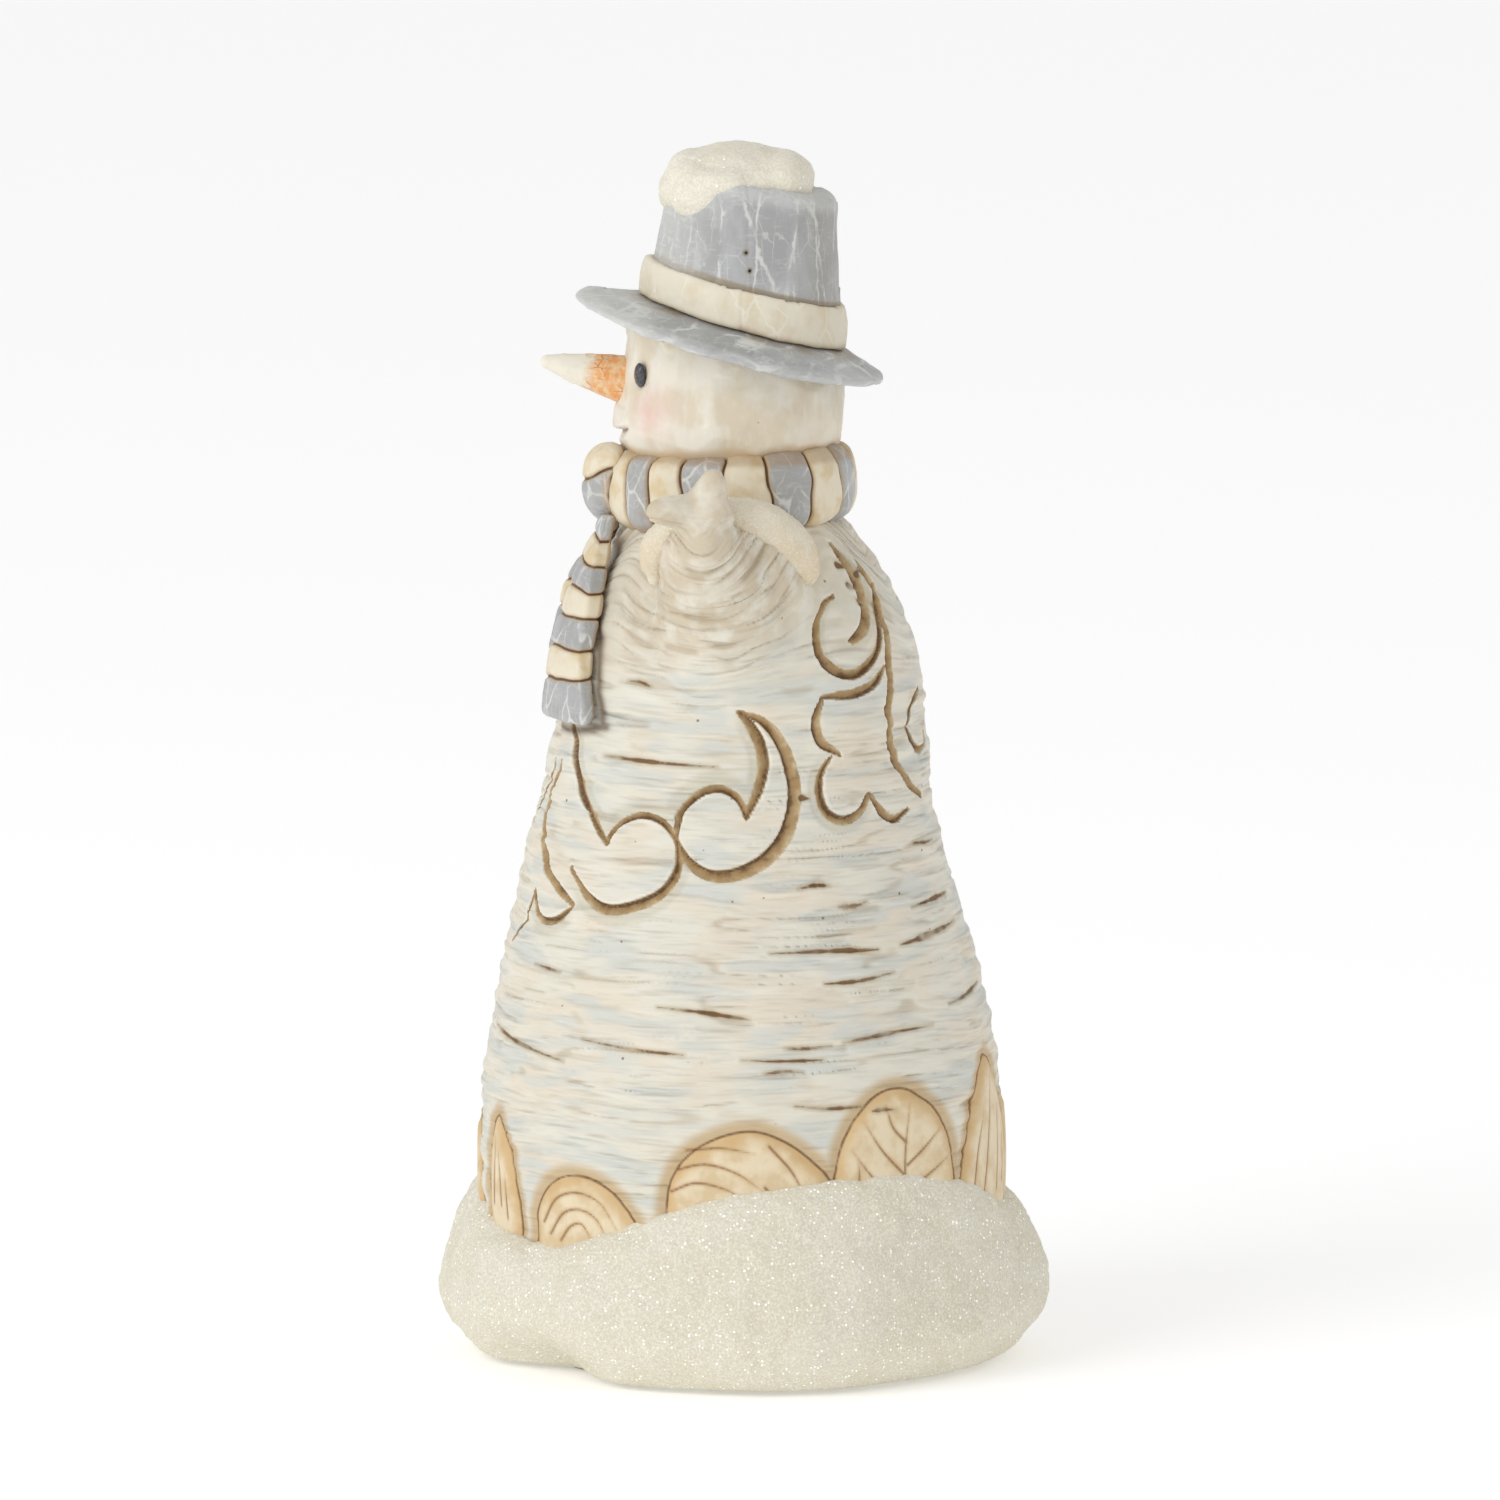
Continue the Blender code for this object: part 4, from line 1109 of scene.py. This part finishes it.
def make_snow_heaps():
    cap = [ball(f"cap_{i}", *egg) for i, egg in enumerate(CAP)]
    heap("hat_heap", cap, 0.42, 14, "hat_snow", CAP_PAINT, 0.45)
    for side, name in SIDES:
        path = flipped(SADDLE, side)
        bed = [(x - 2.8 * side, y, z - 0.8, r) for x, y, z, r in path[3:]]
        parts = [shell(f"saddle_{name}", tube_points(path)), shell(f"bed_{name}", tube_points(bed)),
                 ball("saddle_end", path[0][:3], (1.7, 1.7, 2.2))]
        heap(f"arm_heap_{name}", parts, 0.34, 12, f"arm_snow_{name}", SADDLE_PAINT, 0.3)


# --- Hat ------------------------------------------------------------------------------------------

BRIM_TILT, CROWN_TOP_TILT = math.radians(15.5), math.radians(11)
CROWN_FOOT, CROWN_TOP = np.array([0, -0.4, 187.6]), np.array([0, 1.7, 213.1])
FOOT_RADIUS, TOP_RADIUS = 18.3, 15.0
BAND_LOW, BAND_HIGH, BAND_THICK = 0.012, 0.275, 0.9  # two shares of the crown's height, and mm
BRIM_OFFSET, BRIM_RADIUS, BRIM_THICK, BRIM_ROUND = -1.5, 28.3, 1.5, 1.1
BRIM_DROOP, SIDE_DROOP = 2.9, 0.8
PINHOLES = ((0.2, 201.5), (0.9, 198.3))  # y and z, on the left side


def tilted(points, tilt):
    """Points leaned back about X."""
    x, y, z = np.moveaxis(points, -1, 0)
    return xyz(x, y * np.cos(tilt) + z * np.sin(tilt), z * np.cos(tilt) - y * np.sin(tilt))


def leaned_height(points, tilt):
    """Height above a plane leaned back about X."""
    return points[:, 2] + points[:, 1] * math.tan(tilt)


def crown_rings(rows):
    """rows: share of the crown's height, and how far the ring stands out from it."""
    around = full_turn(thinned(420))
    rings = []
    for share, grow in rows:
        tilt = BRIM_TILT + (CROWN_TOP_TILT - BRIM_TILT) * share
        radius = FOOT_RADIUS + (TOP_RADIUS - FOOT_RADIUS) * share + grow
        flat = xyz(np.cos(around) * radius, np.sin(around) * radius, 0)
        rings.append(CROWN_FOOT + (CROWN_TOP - CROWN_FOOT) * share + tilted(flat, tilt))
    return np.array(rings)


def seam(points, at_y):
    """1 along the ragged line down the side where the two halves of the mould met."""
    wander = 0.5 * noise(points, 4, 77)
    return bell(points[:, 1] - at_y - wander, 0.3) * (np.abs(points[:, 0]) > 6)


def brim_rings():
    """Over the top face, round the edge and back under the bottom face."""
    outline = [(4.0, 0.0), (18.0, 0.0), (19.6, -0.1)]
    outline += [(r, 0) for r in np.linspace(20.2, BRIM_RADIUS - 1.4, thinned(30))]
    outline += [(BRIM_RADIUS - BRIM_ROUND + BRIM_ROUND * math.cos(a), -BRIM_THICK / 2 * (1 - math.sin(a)))
                for a in np.linspace(math.pi / 2, -math.pi / 2, 13)]
    outline += [(r, -BRIM_THICK) for r in np.linspace(BRIM_RADIUS - 1.4, 14, thinned(34))]
    outline += [(4.0, -BRIM_THICK)]
    around = full_turn(thinned(420))
    rings = []
    for radius, height in outline:
        reach = max(radius - FOOT_RADIUS, 0) / (BRIM_RADIUS - FOOT_RADIUS)
        flat = xyz(np.cos(around) * radius, np.sin(around) * radius + BRIM_OFFSET * reach,
                   height - reach * (BRIM_DROOP + SIDE_DROOP * np.cos(around) ** 2))
        rings.append(CROWN_FOOT + tilted(flat, BRIM_TILT))
    return np.array(rings)


def make_brim():
    brim = shell("hat_brim_shell", brim_rings())
    points = points_of(brim)
    offset = facets(brim, 6.5, 0.55, 3) + 0.18 * rough(points, 5, 51)
    raise_surface(brim, offset * step(18.5, 22, np.hypot(points[:, 0], points[:, 1] + 2)))
    ring = np.hypot(points[:, 0], points[:, 1] - CROWN_FOOT[1])
    edge = np.hypot(points[:, 0], (points[:, 1] - CROWN_FOOT[1] - BRIM_OFFSET) / math.cos(BRIM_TILT))
    # Wear along the brim's edge; painted light, paler towards the front; also paler towards the back
    worn = 0.45 * step(BRIM_RADIUS - 2.2, BRIM_RADIUS - 0.6, edge) + 0.8 * step(-12, -24, points[:, 1])
    write_layers(brim, stain=step(21.8, 19.8, ring) * (0.5 + 0.5 * noise(points, 3, 52)),
                 worn=worn + 0.3 * step(8, 22, points[:, 1]))
    wear(brim, hat_paint("hat_brim_paint", (1.8, 1.8, 1), 3.4), "grey_paint", "hat_brim")


def make_crown():
    shares = [(0.002, 0.0)] + [(s, 0.0) for s in np.linspace(0.02, 0.93, thinned(80))]
    shares += [(0.93 + 0.07 * math.sin(a), -1.9 * (1 - math.cos(a)))
               for a in np.linspace(0.2, math.pi / 2, 12)]
    shares += [(1.0, -g) for g in (4, 6, 8, 11, 14)]
    crown = shell("hat_crown_shell", crown_rings(shares))
    points = points_of(crown)
    offset = facets(crown, 7, 0.4, 5, (1, 1, 0.4)) + 0.15 * rough(points, 6, 53)
    line = seam(points, 0.8)
    pins = np.zeros(len(points))
    for y, z in PINHOLES:
        away = np.hypot(points[:, 1] - y, points[:, 2] - z) + 9 * (points[:, 0] < 0)
        pins += bell(away, 0.4)
    raise_surface(crown, offset - 0.12 * line - 0.8 * pins)
    stain = 0.9 * step(196.2, 195.4, leaned_height(points, BRIM_TILT)) + 0.15 * line
    worn = 0.9 * step(209.5, 212.5, leaned_height(points, CROWN_TOP_TILT))
    # Painted light: the crown paler towards the front
    worn += 0.8 * step(-5, -14, points[:, 1])
    # Painted shade: the crown darker towards the back; the pinholes
    stain += 0.3 * step(4, 15, points[:, 1]) + 2 * pins
    write_layers(crown, stain=stain, worn=np.clip(worn, 0, 1))
    wear(crown, hat_paint("hat_crown_paint", (1, 1, 2.4), 5.4), "grey_paint", "hat_crown")


def make_band():
    section = [(BAND_LOW, -0.4), (BAND_LOW, 0.7)]
    section += [(BAND_LOW + (BAND_HIGH - BAND_LOW) * s, BAND_THICK + 0.35 * math.sin(math.pi * s))
                for s in np.linspace(0.03, 0.97, thinned(26))]
    section += [(BAND_HIGH, 0.6), (BAND_HIGH, -0.4)]
    band = shell("hat_ribbon", np.swapaxes(crown_rings(section), 0, 1), closed=True)
    points = points_of(band)
    offset = facets(band, 6, 0.35, 8) + 0.15 * rough(points, 4, 55)
    line = seam(points, -0.4)
    raise_surface(band, np.clip(offset, -0.35, 0.4) - 0.12 * line)
    foot = leaned_height(points, BRIM_TILT)
    stain = step(189.2, 187.0, foot) + 0.8 * step(196.6, 198.0, foot) * (noise(points, 5, 56) > -0.2)
    stain += 0.2 * line + 0.5 * step(0.2, 0.8, noise(points, (6, 6, 9), 57)) * step(191, 187, foot)
    # Painted shade: the band darker towards the back
    stain += 0.3 * step(2, 15, points[:, 1])
    write_layers(band, stain=np.clip(stain, 0, 1) * 0.7)
    wear(band, ribbon_paint(), "cream_paint", "hat_band")


# --- Head -----------------------------------------------------------------------------------------

# Height, front and back (y)
HEAD_PROFILE = [(159, -17.0, 11.5), (162.5, -20.0, 14.6), (165.5, -21.8, 16.4), (168.2, -23.1, 17.3),
                (171.5, -23.2, 17.6), (175.5, -22.2, 17.3), (181, -21.2, 16.9), (187, -20.6, 16.0),
                (194, -19.0, 13.5)]
HEAD_FOOT, HEAD_TOP, HEAD_FLATTEN = 160.5, 188.5, 0.97
MOUTH_HEIGHT, MOUTH_REACH = 167.2, 9.0
CHEEK = (15.0, -17.5, 172.8)
NOSE_ROOT, NOSE_TIP = np.array([0, -20.6, 176.6]), np.array([0, -36.8, 180.4])
NOSE_START, NOSE_END, NOSE_END_RADIUS = -0.14, 0.9, 1.15  # two shares of the nose's length, and mm
NOSE_RADII = [(NOSE_START, 4.2), (0.05, 4.2), (0.2, 3.9), (0.4, 3.3), (0.6, 2.6), (0.8, 1.7),
              (NOSE_END, NOSE_END_RADIUS)]
EYE_ANGLE, EYE_REACH, EYE_MIDDLE, EYE_HEIGHT = math.radians(-58.5), 19.6, -2.2, 178.8
EYE_WIDE, EYE_TALL, EYE_DEEP = 1.55, 2.2, 0.9


def eye_place(side):
    """The way an eye looks out, and its centre."""
    out = np.array([side * math.cos(EYE_ANGLE), math.sin(EYE_ANGLE), 0])
    return out, np.array([out[0] * EYE_REACH * HEAD_FLATTEN, EYE_MIDDLE + out[1] * EYE_REACH, EYE_HEIGHT])


def make_head():
    heights = np.linspace(HEAD_FOOT, HEAD_TOP, thinned(110))[:, None]
    around = full_turn(thinned(420))
    half, middle = oval(HEAD_PROFILE, heights)
    rings = xyz(np.cos(around) * half * HEAD_FLATTEN, middle + np.sin(around) * half, heights)
    # The top follows the brim's slope
    lean = (rings[..., 1] - CROWN_FOOT[1]) * math.tan(BRIM_TILT)
    rings[..., 2] -= step(176, HEAD_TOP, rings[..., 2]) * (lean + 3.2)
    head = shell("head_shell", rings)
    raise_surface(head, facets(head, 7.5, 0.8, 2))
    relax(head, 4)
    points = points_of(head)
    x, y, z = points.T
    across = np.abs(x)

    def away(place, squash=1.0):
        """Distance from a place on either side of the face."""
        return np.sqrt((across - place[0]) ** 2 + (y - place[1]) ** 2 + ((z - place[2]) * squash) ** 2)

    offset = 0.16 * rough(points, 6, 61)
    smile = MOUTH_HEIGHT + 0.02 * x * x
    mouth = np.hypot(z - smile, np.maximum(across - MOUTH_REACH, 0)) + 20 * (y > 0)
    offset -= 1.4 * bell(mouth, 0.75)
    offset += 0.25 * bell(z - smile + 1.8, 1.5) * (y < 0) * step(12, 7, across)
    offset += 0.5 * bell(away(CHEEK), 4.5)
    offset -= 0.7 * bell(away(eye_place(1)[1], 0.8), 2.6)
    raise_surface(head, offset)
    collar = step(167.0, 165.2, z - 0.03 * y + 0.5 * noise(points, 4, 62))
    # Painted shade: the face darker and tanner towards the back and the bottom
    back_shade = 0.3 * step(-6, 14, y) * step(175, 166, z)
    write_layers(head, stain=np.clip(collar + back_shade, 0, 1) * 0.85, blush=bell(away(CHEEK), 4.3),
                 ink=np.minimum(mouth + 0.1, 5))
    wear(head, face_paint(), "snow_white_paint", "head")


def make_nose():
    length = np.linalg.norm(NOSE_TIP - NOSE_ROOT)
    axis = (NOSE_TIP - NOSE_ROOT) / length
    up = np.cross((1, 0, 0), axis)
    up = up * np.sign(up[2])
    around = full_turn(90)[:, None]
    rings = []
    for share in np.linspace(NOSE_START, NOSE_END, thinned(70)):
        radius = spline(NOSE_RADII, share)[0]
        rings.append(NOSE_ROOT + axis * share * length + np.cos(around) * radius * up
                     + np.sin(around) * radius * 0.95 * np.array([1.0, 0, 0]))
    last = rings[-1]
    centre = last.mean(axis=0)
    for bend in np.linspace(0.2, 1.45, 8):  # the rounded tip
        rings.append(centre + axis * NOSE_END_RADIUS * math.sin(bend) * 1.1
                     + (last - centre) * math.cos(bend))
    nose = shell("carrot_nose", np.array(rings))
    points = points_of(nose)
    raise_surface(nose, facets(nose, 3.6, 0.5, 6) + 0.1 * rough(points, 2, 64))
    write_layers(nose, root=1 - (points - NOSE_ROOT) @ axis / length)
    wear(nose, carrot_paint(), "carrot_paint", "nose")


def make_eyes():
    paint = coal_paint()
    around = full_turn(48)[:, None]
    for side, name in SIDES:
        out, centre = eye_place(side)
        across = np.array([-out[1] * side, out[0] * side, 0])
        rings = []
        for bend in np.linspace(-0.35, 0.49 * math.pi, 20):
            depth = math.sin(bend) * EYE_DEEP - 0.25
            rings.append(centre + out * depth + math.cos(bend) * (
                np.cos(around) * across * EYE_WIDE + np.sin(around) * np.array([0, 0, EYE_TALL])))
        eye = shell(f"coal_eye_{name}", np.array(rings))
        points = points_of(eye)
        raise_surface(eye, 0.08 * rough(points, 0.9, 66))
        write_layers(eye, lid=step(1.2, 2.0, (points - centre) @ across)
                     * step(0.2, -1.2, points[:, 2] - EYE_HEIGHT))
        wear(eye, paint, "coal_paint", f"eye_{name}")


# --- Scarf ----------------------------------------------------------------------------------------

SCARF_CENTRE, SCARF_LINE, SCARF_TUBE = (0.0, -2.4, 158.3), (15.6, 15.9), (6.4, 6.9)
SCARF_RADIUS = 21.5  # out to the painted face
# Degrees round the neck, from -60 on
STRIPE_EDGES = [-60, -43, -24, -3.4, 18.1, 40.8, 62.5, 84, 107, 130, 154, 178, 202, 227, 252, 280,
                300]
KNOT_ANGLE, KNOT_MIDDLE, KNOT_REACH = math.radians(-91), -2.2, 22.2
KNOT_THICK, KNOT_TALL, KNOT_SPREAD = 4.7, 7.0, 0.33
TAIL_FLATTEN, TAIL_MIDDLE = 0.955, -0.8
# The hanging ends: height, middle angle, half-width, inner and outer distance from the log's axis
LONG_END = [(153, -75, 1.8, 23.8, 25.7), (149.5, -74, 2.6, 24.8, 27.0), (146, -72.8, 3.8, 25.8, 28.7),
            (142.6, -72, 5.0, 27.0, 30.2), (139, -71.5, 5.8, 28.0, 31.4), (135, -71, 6.6, 29.2, 32.7),
            (130, -70, 7.3, 31.0, 34.2), (124.5, -67, 8.0, 32.6, 35.4), (117.6, -63, 8.8, 34.4, 36.6)]
SHORT_END = [(152, -106, 3.2, 21.4, 24.8), (146, -108, 4.6, 24.6, 28.2), (140, -109.5, 5.6, 27.8, 31.8),
             (134, -110.5, 6.4, 29.8, 33.4), (127, -111.5, 7.2, 31.6, 35.2)]
# Height of each cut line across an end, and how much lower it is on the side towards the arm
END_CUTS = [(124.6, -0.8), (130.0, 0.0), (135.5, -0.2), (140.5, 1.1), (145.2, 1.6), (149.4, 1.6)]


def stripes(position, edges):
    """Which stripe each position is in, and its distance to the nearest stripe edge."""
    edges = np.asarray(edges, float)
    return np.searchsorted(edges, position), np.min(np.abs(position[:, None] - edges[None, :]), axis=1)


def pillows(gap, puff, puff_width, cut, cut_width):
    """How far stripes stand out and cut lines go in. gap: mm to the nearest line."""
    return puff * (1 - bell(gap, puff_width)) - cut * bell(gap, cut_width)


def signed_power(values, power):
    return np.sign(values) * np.abs(values) ** power


def make_collar():
    around = np.linspace(-90, 270, thinned(1000), endpoint=False)
    a, b = np.meshgrid(np.radians(around), full_turn(thinned(120)), indexing="ij")
    out = SCARF_TUBE[0] * signed_power(np.cos(b), 0.62)
    up = SCARF_TUBE[1] * signed_power(np.sin(b), 0.7)
    out = out * (1 + 0.03 * np.sin(3 * a + 0.5))
    line_y = SCARF_LINE[1] * np.sin(a)
    rings = xyz(SCARF_LINE[0] * np.cos(a) + out * np.cos(a), SCARF_CENTRE[1] + line_y + out * np.sin(a),
                SCARF_CENTRE[2] + up + 0.026 * line_y + 0.35 * np.sin(2 * a))
    collar = shell("scarf_ring", rings, closed=True)
    points = points_of(collar)
    height = points[:, 2]
    degrees = np.degrees(a).ravel() + 2.0 * noise(points, (8, 8, 4), 71)
    degrees += 0.18 * (height - SCARF_CENTRE[2])
    index, gap = stripes(np.where(degrees < STRIPE_EDGES[0], degrees + 360, degrees), STRIPE_EDGES)
    gap = np.radians(gap) * SCARF_RADIUS
    offset = pillows(gap, 0.35, 2.0, 0.7, 0.34)
    raise_surface(collar, offset + facets(collar, 6.5, 0.3, 9) + 0.12 * rough(points, 4, 72))
    stain = 0.2 + step(153.0, 151.2, height) + 0.7 * step(162.8, 164.0, height)
    stain += 0.75 * step(0.15, 0.8, noise(points, (9, 9, 6), 73)) * step(157, 152, height)
    write_layers(collar, stripe=index % 2 == 0, ink=gap, stain=np.clip(stain, 0, 1) * 0.75)
    return collar


def make_knot():
    """The scarf's loop at the front left, which the ends come out of."""
    share = np.linspace(-0.985, 0.985, thinned(150))[:, None]
    b = full_turn(thinned(130))
    swell = 0.1 + 0.9 * (1 - np.abs(share) ** 2.6) ** 0.5
    out = KNOT_REACH + np.cos(b) * KNOT_THICK * swell
    up = np.sin(b) * KNOT_TALL * swell
    angle = KNOT_ANGLE + share * (KNOT_SPREAD - 0.08 * np.maximum(np.cos(b), 0)) + up * 0.016
    knot = shell("scarf_loop", xyz(np.cos(angle) * out, KNOT_MIDDLE + np.sin(angle) * out,
                                   SCARF_CENTRE[2] + up))
    points = points_of(knot)
    x, y, z = points.T
    fold = z - 162.3 + 0.05 * (y + 20.6) ** 2 + 0.5 * noise(points, 5, 74)
    gap = np.abs(fold) * 0.8
    offset = pillows(gap, 0.35, 1.8, 0.6, 0.4)
    raise_surface(knot, offset + facets(knot, 5, 0.35, 10) + 0.1 * rough(points, 3, 75))
    radial = np.hypot(x, y - SCARF_CENTRE[1]) - SCARF_LINE[1]
    above_ring = np.hypot(radial / SCARF_TUBE[0], (z - SCARF_CENTRE[2]) / SCARF_TUBE[1]) * 6.5 - 6.5
    write_layers(knot, stripe=fold > 0, ink=np.minimum(gap, np.abs(above_ring) * 0.4),
                 stain=0.8 * step(1.2, 0.3, above_ring))
    return knot


def end_section():
    """The section of a scarf end: across it and out from the log, along the back and then the face."""
    corner = np.linspace(0, math.pi / 2, 5)
    edge = [(0.9 + 0.1 * math.sin(c), 0.14 - 0.14 * math.cos(c)) for c in corner]
    edge += [(1.0, h) for h in (0.3, 0.5, 0.7)]
    edge += [(0.9 + 0.1 * math.cos(c), 0.8 + 0.2 * math.sin(c)) for c in corner]
    back = [(s, 0.0) for s in np.linspace(-0.8, 0.8, 20)]
    face = [(s, 1.0 + 0.08 * (1 - s * s)) for s in np.linspace(0.84, -0.84, 40)]
    return np.array(back + edge + face + [(-s, h) for s, h in reversed(edge)])


def make_end(name, rows, cuts):
    """A flat scarf end hanging down the log."""
    rows = np.array(rows, float)[::-1]
    heights = np.linspace(rows[0, 0], rows[-1, 0], thinned(150))[:, None]
    angle, wide, inner, outer = np.moveaxis(spline(rows, heights), -1, 0)
    across, deep = end_section().T
    ends = np.minimum(1, (heights - heights[0]) / 1.2) ** 0.5  # 0 at the lower end, which is rounded
    across = across * (0.9 + 0.1 * ends)
    out = inner + (outer - inner) * (0.5 + (deep - 0.5) * (0.6 + 0.4 * ends))
    turn = np.radians(angle) + across * wide / outer
    end = shell(name, xyz(np.cos(turn) * out * TAIL_FLATTEN, TAIL_MIDDLE + np.sin(turn) * out, heights))
    points = points_of(end)
    caps = (0, 0)  # the two points that close the shell
    places = np.r_[across.ravel(), caps]
    face = np.r_[np.broadcast_to(deep, turn.shape).ravel(), caps]
    cut_heights, slants = np.array(cuts).T
    level = points[:, 2] + np.interp(points[:, 2], cut_heights, slants) * places / 2
    index, gap = stripes(level + 0.3 * noise(points, 4, 81), cut_heights)
    offset = pillows(gap, 0.2, 1.0, 0.5, 0.3)
    raise_surface(end, offset + facets(end, 5, 0.25, 11) + 0.08 * rough(points, 3, 82))
    write_layers(end, stripe=index % 2 == 1, ink=gap, stain=step(0.35, 0.1, face) * 0.95)
    return end


def make_scarf():
    paint = scarf_paint()
    wear(make_collar(), paint, "scarf_paint", "scarf_collar")
    wear(make_knot(), paint, "scarf_paint", "scarf_knot")
    wear(make_end("scarf_tail_left", LONG_END, END_CUTS), paint, "scarf_paint", "scarf_end_left")
    wear(make_end("scarf_tail_right", SHORT_END, END_CUTS[2:]), paint, "scarf_paint", "scarf_end_right")


def finish_hidden_parts():
    felt = fibre_paint("felt_pad_cloth", 0.95, (0.4, 5, (3, 1, 1)), (FELT, PALE_FELT), (0.3, 0.8))
    wood = fibre_paint("dowel_wood_grain", 0.75, (0.8, 4, (1, 1, 9)), (WOOD, PALE_WOOD), (0.1, 0.6))
    finishes = {"felt_pad": felt, "neck_dowel": wood, "hat_dowel": wood, "arm_dowel_left": wood,
                "arm_dowel_right": wood}
    for name, material in finishes.items():
        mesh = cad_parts[name].data
        mesh.materials.clear()
        mesh.materials.append(material)


# --- Studio ---------------------------------------------------------------------------------------

# The camera stands on the figure's left side, at +X
CAMERA_ELEVATION, CAMERA_DISTANCE = math.radians(8), 3.2
VIEW_WIDTH = 0.2695  # metres across the picture at the figure
AIM = Vector((0.0, 0.0009, 0.1098))
ROOM_LIGHT, KEY_POWER = 0.70, 9.5
KEY_PLACE, KEY_AIM, KEY_SIZE = Vector((1.05, -1.15, 1.0)), Vector((0, 0, 0.1)), 1.0
FLOOR_HALF = 3e4  # half the width of the floor
WHITE = (1, 1, 1, 1)


def turned_to(way):
    """The rotation that makes a camera or a lamp look a way."""
    return way.to_track_quat("-Z", "Y").to_euler()


def make_camera():
    data = bpy.data.cameras.new("camera")
    camera = add_object("camera", data)
    out = Vector((math.cos(CAMERA_ELEVATION), 0, math.sin(CAMERA_ELEVATION)))
    camera.location = AIM + out * CAMERA_DISTANCE
    camera.rotation_euler = turned_to(-out)
    data.lens = data.sensor_width * CAMERA_DISTANCE / VIEW_WIDTH
    bpy.context.scene.camera = camera


def make_key_light():
    data = bpy.data.lights.new("key", "AREA")
    data.size = KEY_SIZE
    data.energy = KEY_POWER
    light = add_object("key", data)
    light.location = KEY_PLACE
    light.rotation_euler = turned_to(KEY_AIM - KEY_PLACE)


def make_floor():
    corners = [(x * FLOOR_HALF, y * FLOOR_HALF, 0) for x, y in ((-1, -1), (1, -1), (1, 1), (-1, 1))]
    floor = make_object("floor", corners, [(0, 1, 2, 3)])
    p = Paint("floor_paint", 0.9)
    p.shader.inputs["Emission Color"].default_value = WHITE
    p.shader.inputs["Emission Strength"].default_value = 0.25
    floor.data.materials.append(p.done(FLOOR))


def make_room():
    """A white world: white where the camera sees it, and a little darker as light on the figure."""
    world = bpy.data.worlds.new("studio")
    bpy.context.scene.world = world
    world.use_nodes = True
    tree = world.node_tree
    sky = tree.nodes["Background"]
    sky.inputs["Color"].default_value = WHITE
    ray = tree.nodes.new("ShaderNodeLightPath")
    seen = tree.nodes.new("ShaderNodeMapRange")
    seen.inputs["To Min"].default_value = ROOM_LIGHT
    seen.inputs["To Max"].default_value = 1.0
    tree.links.new(ray.outputs["Is Camera Ray"], seen.inputs["Value"])
    tree.links.new(seen.outputs["Result"], sky.inputs["Strength"])
    bpy.context.scene.view_settings.view_transform = "Standard"


make_camera()
make_floor()
make_room()
make_key_light()
make_log()
make_mound()
make_snow_heaps()
make_brim()
make_crown()
make_band()
make_head()
make_nose()
make_eyes()
make_scarf()
finish_hidden_parts()
